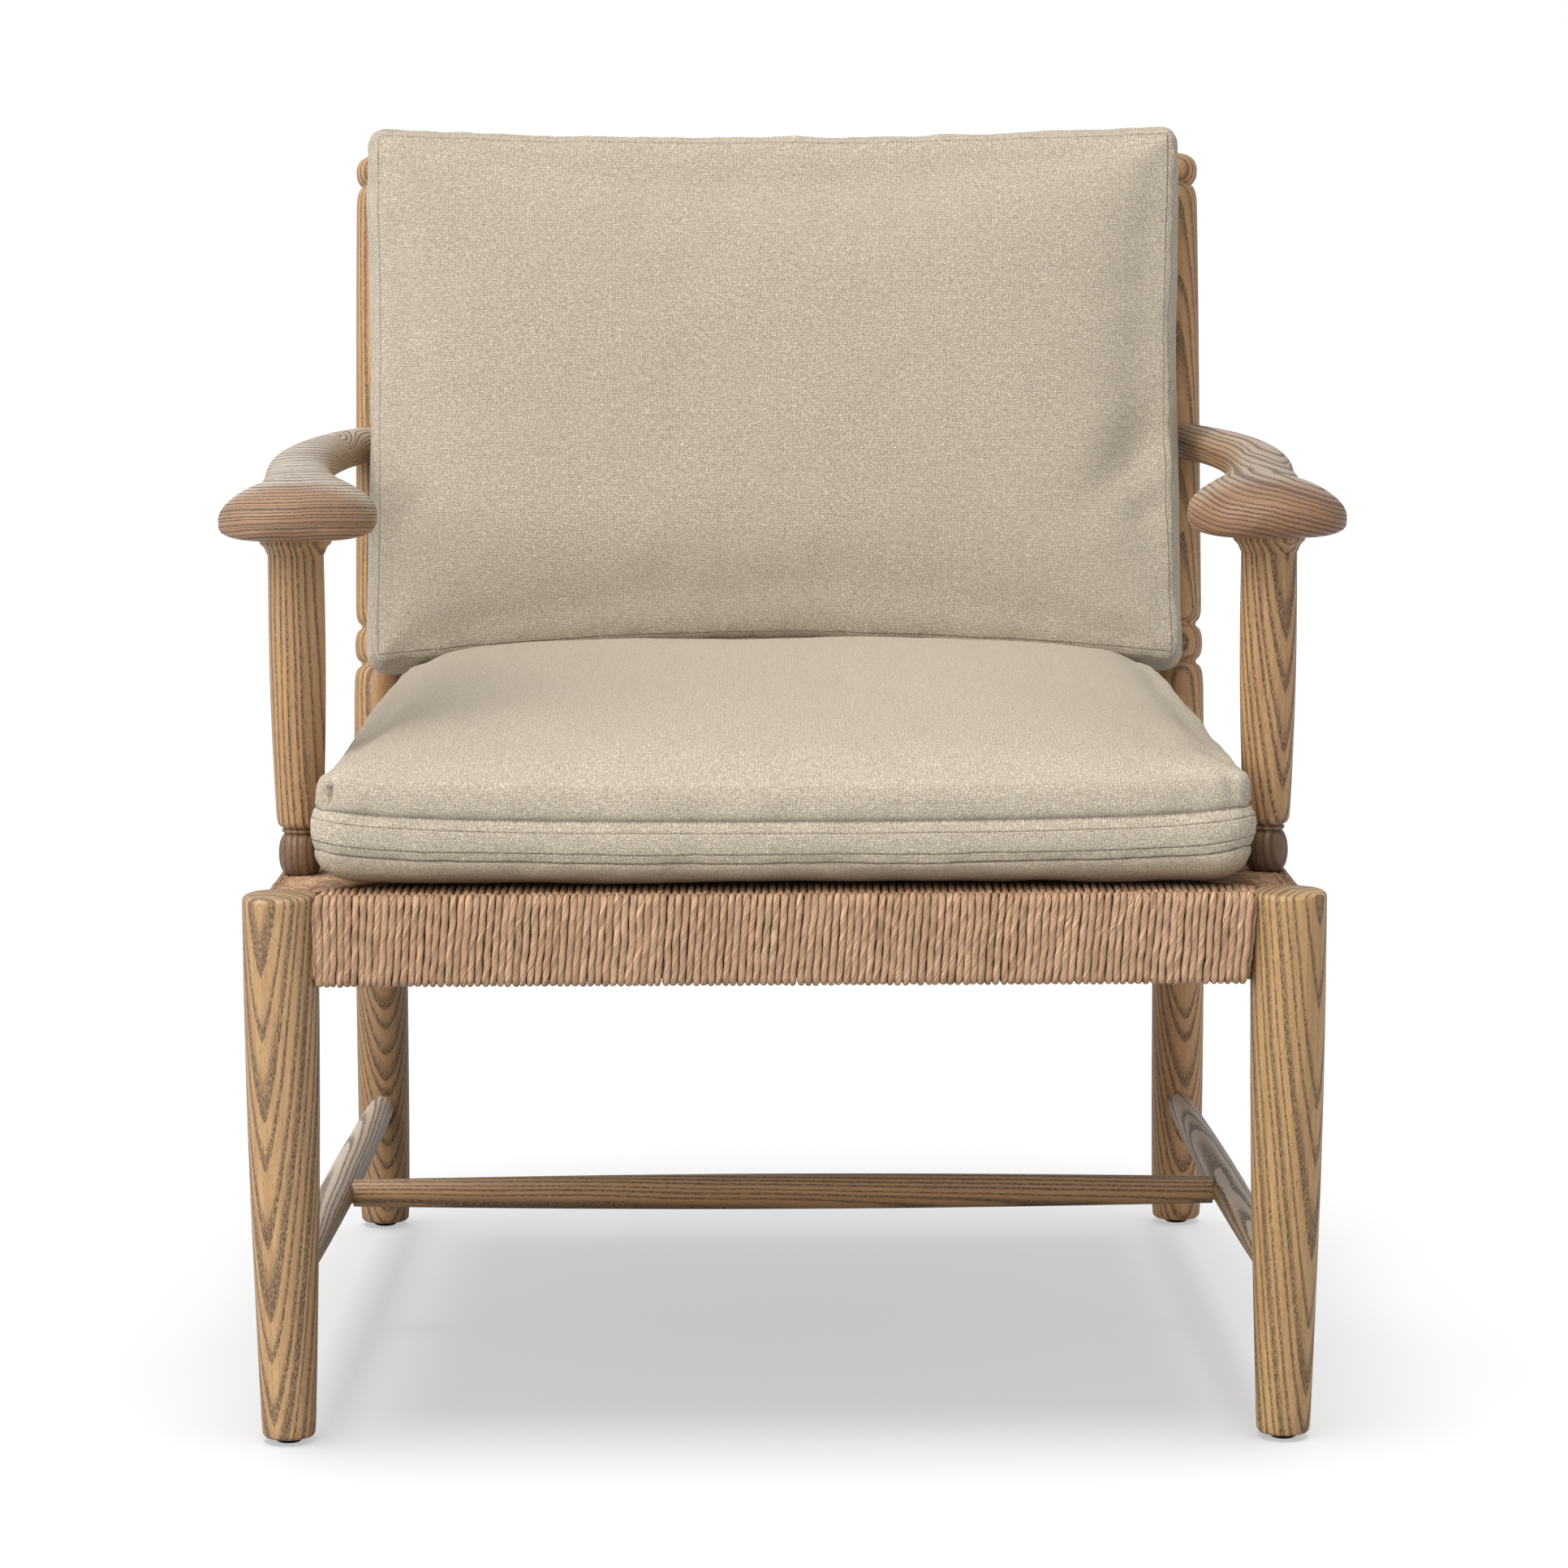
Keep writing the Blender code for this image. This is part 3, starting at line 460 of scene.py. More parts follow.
def curve_through(points, samples):
    """Points on a Catmull-Rom curve, as an array."""
    points = np.array(points, float)
    ends = np.concatenate([[2 * points[0] - points[1]], points, [2 * points[-1] - points[-2]]])
    made = []
    for i in range(samples + 1):
        along = (len(points) - 1) * i / samples
        span = min(int(along), len(points) - 2)
        t = along - span
        a, b, c, d = ends[span:span + 4]
        square, cube = 2 * a - 5 * b + 4 * c - d, 3 * b - a - 3 * c + d
        made.append(0.5 * (2 * b + (c - a) * t + square * t ** 2 + cube * t ** 3))
    return np.array(made)


def arms():
    looks = {
        "left": dict(rings=(-0.03, 0.1, 1.0), side=(1, 0, 0), spacing=0.0023, wave=0.0009, seed=21.0,
                     sheen_strength=0.95, swell=((-0.338, FRONT_Y + 0.6, 0.612), 0.016, 0.038)),
        "right": dict(rings=(0.26, 0.03, 0.965), side=(0.8, 0.6, 0), spacing=0.0031, wave=0.0015, seed=23.7,
                      sheen_strength=0.6, tint=(0.82, 0.77, 0.73),
                      swell=((0.285, FRONT_Y + 0.06, 0.606), 0.004, 0.026)),
    }
    path = curve_through(ARM_STATIONS, ARM_RINGS)
    for side, sign in SIDES.items():
        rings = []
        for i, (out, back, half, low, high) in enumerate(path):
            ahead, behind = path[min(i + 1, ARM_RINGS)], path[max(i - 1, 0)]
            heading = Vector((sign * (ahead[0] - behind[0]), ahead[1] - behind[1], 0))
            across = Vector((heading.y, -heading.x, 0)).normalized()
            edge = low + (high - low) * 0.34
            ring = []
            for turn in 2 * np.pi * (np.arange(ARM_SIDES) + 0.5) / ARM_SIDES:
                wide, up = math.cos(turn), math.sin(turn)
                goal, square, steep = (high, *ARM_ABOVE) if up >= 0 else (low, *ARM_BELOW)
                middle = Vector((sign * out, FRONT_Y + back, edge + (goal - edge) * abs(up) ** steep))
                ring.append(middle + across * (math.copysign(abs(wide) ** square, wide) * half))
            rings.append(ring)
        mesh = lofted(side, rings)
        trim_round(mesh, sign * REAR_POST_X)
        paddle = ((sign * 0.325, FRONT_Y + 0.042, 0.6), (0.105, 0.096, 0.056), (0.3, 0.165, 0.092))
        mat = wood(f"oak_armrest_{side}", grain=1, dark=1.0, brown=paddle, **looks[side])
        piece(f"armrest_{side}_carved", mesh, mat, nodes=[f"armrest_{side}"])


def trim_round(mesh, x):
    """Takes away the arm's end inside and behind the rear post, which it meets with a hollow end."""
    def cut_off(vert):
        y = post_y(vert.co.z)
        away = math.hypot(vert.co.x - x, vert.co.y - y)
        return away < POST_R - 0.0015 or (vert.co.y > y and abs(vert.co.x - x) < 0.06)

    bm = bmesh.new()
    bm.from_mesh(mesh)
    bmesh.ops.delete(bm, geom=[face for face in bm.faces if all(map(cut_off, face.verts))], context="FACES")
    bmesh.ops.holes_fill(bm, edges=[edge for edge in bm.edges if edge.is_boundary], sides=0)
    bm.to_mesh(mesh)
    bm.free()


# ---- paper cord

CORD_R = 0.00252
CORD_PAD = 0.0025
CORD_TWIST = 0.03
CORD_SIDES = 10
CORD_LOBES = 0.1
RAIL_HALF = 0.012
LEAF_TOP, LEAF_BOTTOM = 0.365, 0.3092
KINK = 0.0075
CORD_MARGIN = {"front": 0.0265, "rear": 0.0225}


def mark(mesh, name, values, kind="FLOAT", key="value"):
    mesh.attributes.new(name, kind, "POINT").data.foreach_set(key, np.asarray(values, np.float32).ravel())


def marked(tree, name, out="Fac"):
    return node(tree, "Attribute", out=out, attribute_name=name)


def cord_material(name):
    """Twisted kraft paper: creases along the twist that get painted shade, painted shade where strands touch,
    pale specks of painted highlight, and a shade for each strand.
    """
    made, shader, spot = new_material(name)
    along, cos, sin = (part(marked(spot.tree, "cord", "Vector"), axis) for axis in "XYZ")
    shade = marked(spot.tree, "strand")
    turn = along * (2 * math.pi / CORD_TWIST) + noise_of(spot, 90, 1.0) * 2.0
    turn_cos, turn_sin = compute("COSINE", turn), compute("SINE", turn)
    place = {"X": cos * turn_cos - sin * turn_sin, "Y": sin * turn_cos + cos * turn_sin,
             "Z": along * 9.0 + shade * 37.0}
    twisted = node(spot.tree, "CombineXYZ", place)
    fold = ramp(noise_of(twisted, (2.2, 2.2, 1.0), 2.0, 0.6), (0.43, 0.0), (0.5, 1.0), (0.57, 0.0))
    fine = noise_of(twisted, (8.0, 8.0, 2.0), 3.0, 0.65)
    # The sides where strands touch their neighbours are darkened: painted shade
    gap = ramp(compute("ABSOLUTE", sin), (0.82, 0.0), (1.0, 1.0))
    colour = mix(shade, (0.6, 0.365, 0.214), (0.71, 0.455, 0.28))
    # Darker along the creases of the twist: painted shade in the folds
    colour = mix(fold * 0.5, colour, (0.33, 0.175, 0.09))
    colour = mix(ramp(fine, (0.35, 0.4), (0.62, 0.0)), colour, (0.4, 0.22, 0.12))
    # Pale specks: painted highlights
    colour = mix(ramp(noise_of(spot, 1900), (0.6, 0.0), (0.75, 0.3)), colour, (0.86, 0.66, 0.47))
    colour = mix(gap * 0.8, colour, (0.115, 0.06, 0.032))
    feed(shader, Base_Color=colour, Roughness=fine * 0.2 + 0.5, Specular_IOR_Level=0.35)
    bump(shader, fine * 0.45 - fold, 0.0008, 0.95)
    return made


def lengths_along(path):
    return np.concatenate([[0], np.cumsum(np.linalg.norm(np.diff(path, axis=0), axis=1))])


def unit(rows):
    return rows / np.maximum(np.linalg.norm(rows, axis=1), 1e-9)[:, None]


def tube(path, radius, start, shade):
    """Points, faces, (along, cos, sin) and shade of a twisted strand on a path of points."""
    path = np.asarray(path, float)
    tangent = unit(np.gradient(path, axis=0))
    reach = lengths_along(path) + start
    span = np.abs(path[-1] - path[0])
    side = np.array((1.0, 0.0, 0.0)) if span[0] < span.max() else np.array((0.0, 1.0, 0.0))
    over = unit(np.cross(tangent, side))
    across = np.cross(over, tangent)
    turns = np.arange(CORD_SIDES) / CORD_SIDES
    ply = 1 + CORD_LOBES * np.cos(4 * np.pi * (turns + reach[:, None] / CORD_TWIST))
    swing = np.broadcast_to(radius, len(path))[:, None] * ply
    cos, sin = np.cos(2 * np.pi * turns), np.sin(2 * np.pi * turns)
    round_it = over[:, None] * cos[:, None] + across[:, None] * sin[:, None]
    points = path[:, None] + swing[..., None] * round_it
    marks = np.stack(np.broadcast_arrays(reach[:, None], cos, sin), -1)
    faces = np.roll(skin(len(path), CORD_SIDES)[:, ::-1], 1, 1)
    return points.reshape(-1, 3), faces, marks.reshape(-1, 3), np.full(len(path) * CORD_SIDES, shade)


def strands_mesh(name, tubes):
    points, faces, marks, shades = (list(each) for each in zip(*tubes))
    base, caps = 0, []
    for k, p in enumerate(points):
        faces[k] = faces[k] + base
        caps.append(tuple(range(base, base + CORD_SIDES)))
        base += len(p)
        caps.append(tuple(range(base - 1, base - 1 - CORD_SIDES, -1)))
    mesh = bpy.data.meshes.new(name)
    mesh.from_pydata(np.concatenate(points).tolist(), [], np.concatenate(faces).tolist() + caps)
    mark(mesh, "cord", np.concatenate(marks), "FLOAT_VECTOR", "vector")
    mark(mesh, "strand", np.concatenate(shades))
    return mesh


def wrap_profile(low, high, reach, sunk=0.0):
    """(outward, height) points of one strand: from the mitre over the rail and back below it."""
    out, top, bottom = RAIL_HALF + CORD_PAD - sunk, high + CORD_PAD - sunk, low - CORD_PAD + sunk
    bend = 0.0042
    tail = ((0.0005, 0.008), (0.003, 0.0035), (0.007, 0.0006))
    inner = -RAIL_HALF - 0.004
    span = reach - 0.01 + inner
    parts = max(1, int(span / 0.02))
    run = [(-reach + 0.01 + span * k / parts, k / parts) for k in range(parts + 1)]
    bends = np.linspace(0.15, 1.45, 5)
    points = [(-reach + d, LEAF_TOP - h) for d, h in tail]
    points += [(d, LEAF_TOP + (top - LEAF_TOP) * s ** 0.5) for d, s in run]
    points += [(d, top) for d in np.arange(inner + 0.003, KINK - 0.003, 0.003)]
    points += [(d, top - 0.0009 * math.exp(-((d - KINK) / 0.0016) ** 2))
               for d in np.arange(KINK - 0.0028, out - bend, 0.0014)]
    points += [(out - bend + bend * math.sin(a), top - bend + bend * math.cos(a)) for a in bends]
    points += [(out + 0.0006 * math.sin(math.pi * s), top - bend + (bottom + 2 * bend - top) * s)
               for s in np.linspace(0, 1, 20)]
    points += [(out - bend + bend * math.cos(a), bottom + bend - bend * math.sin(a)) for a in bends]
    points += [(d, bottom) for d in np.arange(out - bend, inner, -0.004)]
    points += [(d, LEAF_BOTTOM + (bottom - LEAF_BOTTOM) * s ** 0.5) for d, s in reversed(run)]
    return np.array(points + [(-reach + d, LEAF_BOTTOM + h) for d, h in reversed(tail)])


def weave_corner(sign, end):
    return Vector((sign * FRONT_LEG_X, FRONT_Y) if end == "front" else (sign * REAR_POST_X, post_y(0.335)))


def woven_sector(end, first, second, low, high, count, start, stop, mat):
    """The strands round one rail, each ending on the diagonals of the seat."""
    chance = random.Random("cord " + end)
    length = (second - first).length
    along = (second - first) / length
    outward = Vector((second.y - first.y, first.x - second.x)).normalized()
    front, rear = weave_corner(1, "front"), weave_corner(1, "rear")
    centre = Vector((0, front.y + (rear.y - front.y) * front.x / (front.x + rear.x)))
    foot, depth = (centre - first).dot(along), -(centre - first).dot(outward)
    t3, o3 = np.array((*along, 0)), np.array((*outward, 0))
    tubes = []

    def wander(path, x, ys, z=None):
        """Noise at each point of a strand's path: its own x, and y and z from (outward, height)."""
        return np.array([noise.noise((x, s * ys[0] + ys[1], e * ys[0] if z is None else z)) for e, s in path])

    def strand(a, k, radius, sunk=0.0):
        reach = depth * min(a / foot, (length - a) / (length - foot))
        path = wrap_profile(low, high, reach, sunk)
        d, z = path.T
        share = np.clip((high + CORD_PAD - z) / (high - low + 2 * CORD_PAD), 0, 1)
        lead = -0.0046 * min(1.0, max(0.0, a - start) / 0.05) * share
        lead += 0.0022 * np.clip((KINK + 0.002 - d) / 0.004, 0, 1) * (z > (low + high) / 2)
        side = a + lead + wander(path, k * 0.21, (60, 0), 3.7) * 0.0009
        side += wander(path, k * 7.3, (45, 0)) * 0.00034 + chance.uniform(-1, 1) * 0.00018
        lift = wander(path, k * 5.1, (30, 9)) * 0.00055
        front_face = np.clip((d - 0.004) / 0.008, 0, 1)
        points = np.array((*first, 0)) + t3 * side[:, None] + o3 * (d + lift * front_face)[:, None]
        points[:, 2] = z + lift * (1 - front_face)
        pinch = 1 - 0.24 * np.exp(-((d - KINK) / 0.0018) ** 2) * (z > high)
        swell = 1 + 0.05 * wander(path, k * 3.7, (70, 0), 1.3)
        tubes.append(tube(points, radius * pinch * swell, chance.uniform(0, 1), chance.uniform(0, 1)))

    for k in range(count):
        strand(start + (length - start - stop) * k / (count - 1), k, CORD_R * chance.uniform(0.94, 1.03))
    for k, a in enumerate((start - 0.0034, length - stop + 0.0034)):
        strand(a, count + k, CORD_R * 0.72, 0.003)
    for corner in (first, second):
        way = (centre - corner).normalized()
        inward = 0.03 if corner.y < 0 else 0.026
        wide = 0.0013 if corner is first else -0.0013
        for level, mean in ((LEAF_TOP, 1), (LEAF_BOTTOM, -1)):
            path = [(*(corner + way * s + way.orthogonal() * (wide + 0.0004 * math.sin(s * 90))),
                     level + mean * (0.0006 + (high - LEAF_TOP) * math.exp(-(s - inward) / 0.05)))
                    for s in np.linspace(inward, (centre - corner).length - 0.002, 70)]
            tubes.append(tube(path, CORD_R * 0.9, chance.random(), chance.random()))
    name = f"cord_weave_{end}"
    piece(f"{name}_strands", strands_mesh(name, tubes), mat, nodes=[name], smooth=None)
    bpy.data.objects[f"{name}_strands"].data.shade_smooth()


def woven_seat():
    mat = cord_material("paper_cord_twisted")
    for end, corners, low, high, count in (("front", ((-1, "front"), (1, "front")), 0.314, 0.366, 125),
                                           ("rear", ((1, "rear"), (-1, "rear")), 0.314, 0.366, 118),
                                           ("left", ((-1, "rear"), (-1, "front")), 0.3095, 0.359, 121),
                                           ("right", ((1, "front"), (1, "rear")), 0.3095, 0.359, 121)):
        start, stop = (CORD_MARGIN[place] for _, place in corners)
        woven_sector(end, *(weave_corner(*corner) for corner in corners), low, high, count, start, stop, mat)


# ---- cushions

YARN_PITCH = 0.00135


def linen_material(name, seed, shade_heights=None):
    """Nubby plain weave: yarns both ways from the cloth's own coordinates, slubs, flecks, and painted shade
    in the seams, stitch lines and creases.

    Its last argument gives two heights: cloth below the first is browned by painted shade, the shade low on
    the seat cushion, and cloth above the second is clean."""
    made, shader, spot = new_material(name)
    flat = node(spot.tree, "UVMap", uv_map="weave") + (seed, seed * 0.7, 0.0)
    drift = noise_of(flat, (260.0, 260.0, 1.0), out="Color")
    flat = flat + (drift - (0.5, 0.5, 0.5)) * (0.0021, 0.0021, 0.0)

    def spun(across, along, detail=2.0, roughness=0.5):
        return noise_of(flat, (across, along, 1.0), detail, roughness)

    warp, weft = spun(760.0, 240.0, 2.0, 0.6), spun(240.0, 760.0, 2.0, 0.6)
    waves = [compute("SINE", part(flat, axis) * (math.pi / YARN_PITCH)) for axis in "XY"]
    check = waves[0] * waves[1]
    knot = compute("ABSOLUTE", check)
    over = check * 0.5 + 0.5
    yarn = warp * over + weft * (1.0 - over)
    gaps = ramp(knot, (0.04, 1.0), (0.42, 0.0))
    nub = ramp(spun(820.0, 820.0, 2.0, 0.7), (0.38, 0.0), (0.6, 1.0))
    fleck = ramp(spun(620.0, 420.0, 1.0), (0.7, 0.0), (0.75, 1.0))
    colour = mix(ramp(yarn, (0.36, 0.0), (0.62, 1.0)), (0.52, 0.428, 0.316), (0.9, 0.79, 0.64))
    # The last of these mixes is painted shade in seams, stitch lines and creases, carried by a mark on the
    # mesh
    for share, shade in (((1.0 - nub) * 0.54, (0.35, 0.286, 0.208)),
                         (ramp(spun(150.0, 620.0, 3.0, 0.7), (0.36, 0.5), (0.58, 0.0)), (0.545, 0.478, 0.39)),
                         (ramp(spun(14.0, 14.0, 3.0), (0.35, 0.2), (0.65, 0.0)), (0.58, 0.49, 0.375)),
                         (gaps * 0.3, (0.27, 0.217, 0.156)),
                         (fleck * 0.65, (0.19, 0.155, 0.118)),
                         (marked(spot.tree, "groove_shade") * 0.8, (0.15, 0.115, 0.08))):
        colour = mix(share, colour, shade)
    # Cloth low on the cushion is browned: painted shade under it, where it meets the weave
    if shade_heights:
        low_shade = ramp(part(spot, "Z"), (shade_heights[0], 1.0), (shade_heights[1], 0.0))
        colour = mix(low_shade, colour, colour * (0.78, 0.67, 0.56))
    feed(shader, Base_Color=colour, Roughness=0.9, Specular_IOR_Level=0.2, Sheen_Weight=0.15,
         Sheen_Roughness=0.5, Sheen_Tint=(0.9, 0.84, 0.76))
    bump(shader, yarn * 0.9 + knot * 0.8 + nub * 0.6, 0.0008)
    return made


def thread_material(name):
    made, shader, spot = new_material(name)
    ply = noise_of(spot, 2600)
    feed(shader, Base_Color=mix(ply, (0.42, 0.35, 0.25), (0.62, 0.53, 0.39)), Roughness=0.7)
    bump(shader, ply, 0.0002, 0.6)
    return made


PANEL_GAP = 0.012
# Grid lines beside a panel's edge, close together at the seam and at the row of stitches
NEAR_EDGE = np.array((0, 0.0012, 0.003, 0.0062, 0.007, 0.0078, 0.011, 0.0155, 0.021, 0.028, 0.036, 0.045))
STITCH_LINE = 4


def lines_across(half):
    """Grid lines from edge to edge, as near each edge as NEAR_EDGE says and about PANEL_GAP apart between."""
    inner = half - NEAR_EDGE[-1]
    count = max(2, round(2 * inner / PANEL_GAP))
    between = np.linspace(-inner, inner, count + 1)[1:-1]
    return np.concatenate([NEAR_EDGE - half, between, (half - NEAR_EDGE)[::-1]])


def around(grid):
    """What is on a grid's edge, in order."""
    return np.concatenate([grid[:, 0], grid[-1, 1:], grid[-2::-1, -1], grid[0, -2:0:-1]])


class Cushion:
    """A box cushion: two panels joined by boxing. Local x and y lie in the panels and h goes through."""

    def __init__(self, half_x, half_y, corner, boxing, upper, lower, bulge, shoulder, taper=None):
        gx, gy = np.meshgrid(lines_across(half_x), lines_across(half_y), indexing="ij")
        reach_x, reach_y = half_x - corner, half_y - corner
        a = np.clip((np.abs(gx) - reach_x) / corner, 0, 1)
        b = np.clip((np.abs(gy) - reach_y) / corner, 0, 1)
        px = np.where(a > 0, reach_x + corner * a * np.sqrt(1 - b * b / 2), np.abs(gx)) * np.sign(gx)
        py = np.where(b > 0, reach_y + corner * b * np.sqrt(1 - a * a / 2), np.abs(gy)) * np.sign(gy)
        qx, qy = np.abs(px) - reach_x, np.abs(py) - reach_y
        far = np.hypot(np.maximum(qx, 0), np.maximum(qy, 0))
        inset = corner - far - np.minimum(np.maximum(qx, qy), 0)
        # The filling pushes a panel's edge out past its seam
        far = np.maximum(far, 1e-9)
        rounded = (qx > 0) & (qy > 0)
        push = shoulder * inset / 0.005 * np.exp(1 - np.maximum(inset, 0) / 0.005)
        way = np.stack([(np.where(rounded, qx / far, qx >= qy) * np.sign(px)).ravel(),
                        (np.where(rounded, qy / far, qx < qy) * np.sign(py)).ravel()], 1)
        if taper:
            px = px * taper(py)
        index = np.arange(px.size).reshape(px.shape)
        self.index, size = index, px.size
        loop = around(index)
        flat, inset = np.stack([px.ravel(), py.ravel()], 1), inset.ravel()
        rim = flat[loop]
        ring = len(rim)
        ahead = np.roll(rim, -1, 0) - np.roll(rim, 1, 0)
        out = unit(np.stack([ahead[:, 1], -ahead[:, 0]], 1))
        run = lengths_along(np.concatenate([rim, rim[:1]]))
        share_x, share_y = px.ravel() / half_x, py.ravel() / half_y
        pushed = flat + way * push.ravel()[:, None]
        # Cloth coordinates follow the surface down a panel's steep edge
        depths = np.linspace(0, 0.06, 601)

        def laid_flat(height):
            rise = np.gradient(height(depths, np.ones(601), np.zeros(601)), depths)
            extra = np.cumsum((np.hypot(rise, 1) - 1)[::-1])[::-1] * depths[1]
            return flat + way * np.interp(inset, depths, extra)[:, None]

        cloth = laid_flat(upper), laid_flat(lower) + 1.0
        panels = [np.column_stack([pushed, height(inset, share_x, share_y)]) for height in (upper, lower)]
        low, high = boxing[0], boxing[-1]
        rows = []
        for h in boxing[1:-1]:
            swell = bulge * math.sin(math.pi * (h - low) / (high - low))
            rows.append(np.column_stack([rim + out * swell, np.full(ring, h)]))
        self.points = np.concatenate(panels + rows)
        sides = [2 * size + k * ring + np.arange(ring) for k in range(len(rows))]
        self.loops = [size + loop, *sides, loop]
        self.faces, self.flat = [], []
        quads = np.stack([index[:-1, :-1], index[1:, :-1], index[1:, 1:], index[:-1, 1:]], -1).reshape(-1, 4)
        for quad in quads:
            self.faces += [quad, size + quad[::-1]]
            self.flat += [*cloth[0][quad], *cloth[1][quad[::-1]]]
        for k in range(len(boxing) - 1):
            below, above = self.loops[k:k + 2]
            for i in range(ring):
                j = (i + 1) % ring
                self.faces.append([below[i], below[j], above[j], above[i]])
                self.flat += [(run[i + e] + 2, boxing[k + h]) for e, h in ((0, 0), (1, 0), (1, 1), (0, 1))]

    def mesh(self, name, place):
        """The mesh where place puts its points, with the cloth's flat coordinates as its UV map."""
        mesh = bpy.data.meshes.new(name)
        mesh.from_pydata([place(p) for p in self.points], [], [[int(v) for v in f] for f in self.faces])
        cloth = mesh.uv_layers.new(name="weave")
        cloth.data.foreach_set("uv", np.array(self.flat, np.float32).ravel())
        return mesh

    def stitch_lines(self):
        """The loops of points a few grid lines inside the edges of the upper and the lower panel."""
        inner = around(self.index[STITCH_LINE:-STITCH_LINE, STITCH_LINE:-STITCH_LINE])
        return [inner, inner + self.index.size]


def coords_of(mesh):
    co = np.empty(len(mesh.vertices) * 3)
    mesh.vertices.foreach_get("co", co)
    return co.reshape(-1, 3)


def place_points(mesh, co):
    mesh.vertices.foreach_set("co", co.ravel())
    mesh.update()


def normals_of(mesh):
    return np.array([v.normal for v in mesh.vertices])


CLOTH = dict(quality=6, mass=0.3, tension_stiffness=20, compression_stiffness=20, shear_stiffness=8,
             bending_stiffness=0.6, use_pressure=True, uniform_pressure_force=4.0, vertex_group_mass="held",
             shrink_min=-0.004)
CLOTH_FRAMES = 20


def inflate(obj, held, cap):
    """Cloth filled by pressure, its seams held. Each point swells straight out, by less than cap."""
    before, normals = coords_of(obj.data), normals_of(obj.data)
    group = obj.vertex_groups.new(name="held")
    group.add([int(i) for i in held], 1.0, "REPLACE")
    cloth = obj.modifiers.new("cloth", "CLOTH")
    for key, value in CLOTH.items():
        setattr(cloth.settings, key, value)
    cloth.settings.effector_weights.gravity = 0
    cloth.collision_settings.use_collision = False
    cloth.point_cache.frame_end = CLOTH_FRAMES
    scene = bpy.context.scene
    for number in range(CLOTH_FRAMES):
        scene.frame_set(number + 1)
    after = coords_of(obj.evaluated_get(bpy.context.evaluated_depsgraph_get()).to_mesh())
    obj.modifiers.remove(cloth)
    obj.vertex_groups.remove(group)
    scene.frame_set(1)
    swollen = np.maximum(((after - before) * normals).sum(1), 0)
    place_points(obj.data, before + normals * (cap * np.tanh(swollen / cap))[:, None])


def smooth_once(obj):
    """One level of subdivision, applied."""
    level = obj.modifiers.new("smooth", "SUBSURF")
    level.levels = level.render_levels = 1
    made = bpy.data.meshes.new_from_object(obj.evaluated_get(bpy.context.evaluated_depsgraph_get()))
    obj.modifiers.clear()
    obj.data = made
    return made


def marked_loops(mesh, name):
    """Closed chains of the vertices that carry a mark, which they lose."""
    level = np.empty(len(mesh.vertices), np.float32)
    mesh.attributes[name].data.foreach_get("value", level)
    mesh.attributes.remove(mesh.attributes[name])
    level = level > 0.999
    ends = np.empty(len(mesh.edges) * 2, np.int32)
    mesh.edges.foreach_get("vertices", ends)
    beside = {}
    for a, b in ends.reshape(-1, 2).tolist():
        if level[a] and level[b]:
            beside.setdefault(a, []).append(b)
            beside.setdefault(b, []).append(a)
    loops, seen = [], set()
    for first in sorted(beside):
        if first in seen:
            continue
        chain, ahead = [], [first]
        while ahead:
            chain.append(ahead[0])
            seen.add(ahead[0])
            ahead = [v for v in beside[chain[-1]] if v not in seen]
        loops.append(chain)
    return loops


STITCH_PITCH, STITCH_SIDES, STITCH_LIFT = 0.0036, 6, 0.00005
# Where the rings of a stitch are along it, and their radii
STITCH = np.array(((-0.00105, 0.0001), (-0.0007, 0.00034), (0.0007, 0.00034), (0.00105, 0.0001)))


def stitched(name, mesh, chains, body, mat):
    """Short raised stitches along closed chains of vertices."""
    co, normals = coords_of(mesh), normals_of(mesh)
    points = []
    turns = 2 * np.pi * np.arange(STITCH_SIDES) / STITCH_SIDES
    cos, sin = np.cos(turns)[:, None], np.sin(turns)[:, None]
    for chain in chains:
        path, up = co[chain + chain[:1]], normals[chain + chain[:1]]
        far = lengths_along(path)
        count = int(far[-1] / STITCH_PITCH)
        spots = (np.arange(count) + 0.5) * far[-1] / count

        def along(where, values):
            return np.stack([np.interp(where, far, column) for column in values.T], 1)

        at, lift = along(spots, path), along(spots, up)
        ahead = unit(along(spots + 0.001, path) - at)
        round_it = cos * lift[:, None] + sin * np.cross(lift, ahead)[:, None]
        rings = (at + lift * STITCH_LIFT)[:, None] + ahead[:, None] * STITCH[:, :1]
        points.append((rings[:, :, None] + round_it[:, None] * STITCH[:, 1:, None]).reshape(-1, 3))
    points = np.concatenate(points)
    size = len(STITCH) * STITCH_SIDES
    faces = []
    for base in range(0, len(points), size):
        faces += (skin(len(STITCH), STITCH_SIDES) + base).tolist()
        faces.append(tuple(range(base + STITCH_SIDES - 1, base - 1, -1)))
        faces.append(tuple(range(base + size - STITCH_SIDES, base + size)))
    made = bpy.data.meshes.new(name)
    made.from_pydata(points.tolist(), [], faces)
    return piece(name, made, mat, body, smooth=60)


def creased(spot, creases):
    """How deep the creases are at a place, and how much painted shade they get. Each is (start, end, depth,
    width, shade).
    """
    sunk, dark = 0.0, 0.0
    for start, end, depth, width, shade in creases:
        a, way = Vector(start), Vector(end) - Vector(start)
        share = max(0.0, min(1.0, (spot - a).dot(way) / way.length_squared))
        gap = (spot - a - way * share).length
        if gap < width * 3:
            swell = math.sin(math.pi * (0.12 + 0.8 * share))
            dark = max(dark, shade * math.exp(-(gap / width * 2) ** 2) * swell)
            sunk += depth * math.exp(-(gap / width) ** 2) * swell
    return sunk, dark


SEAM_DEPTH, STITCH_DEPTH, SEAM_SHADE = 0.0014, 0.0011, 0.9


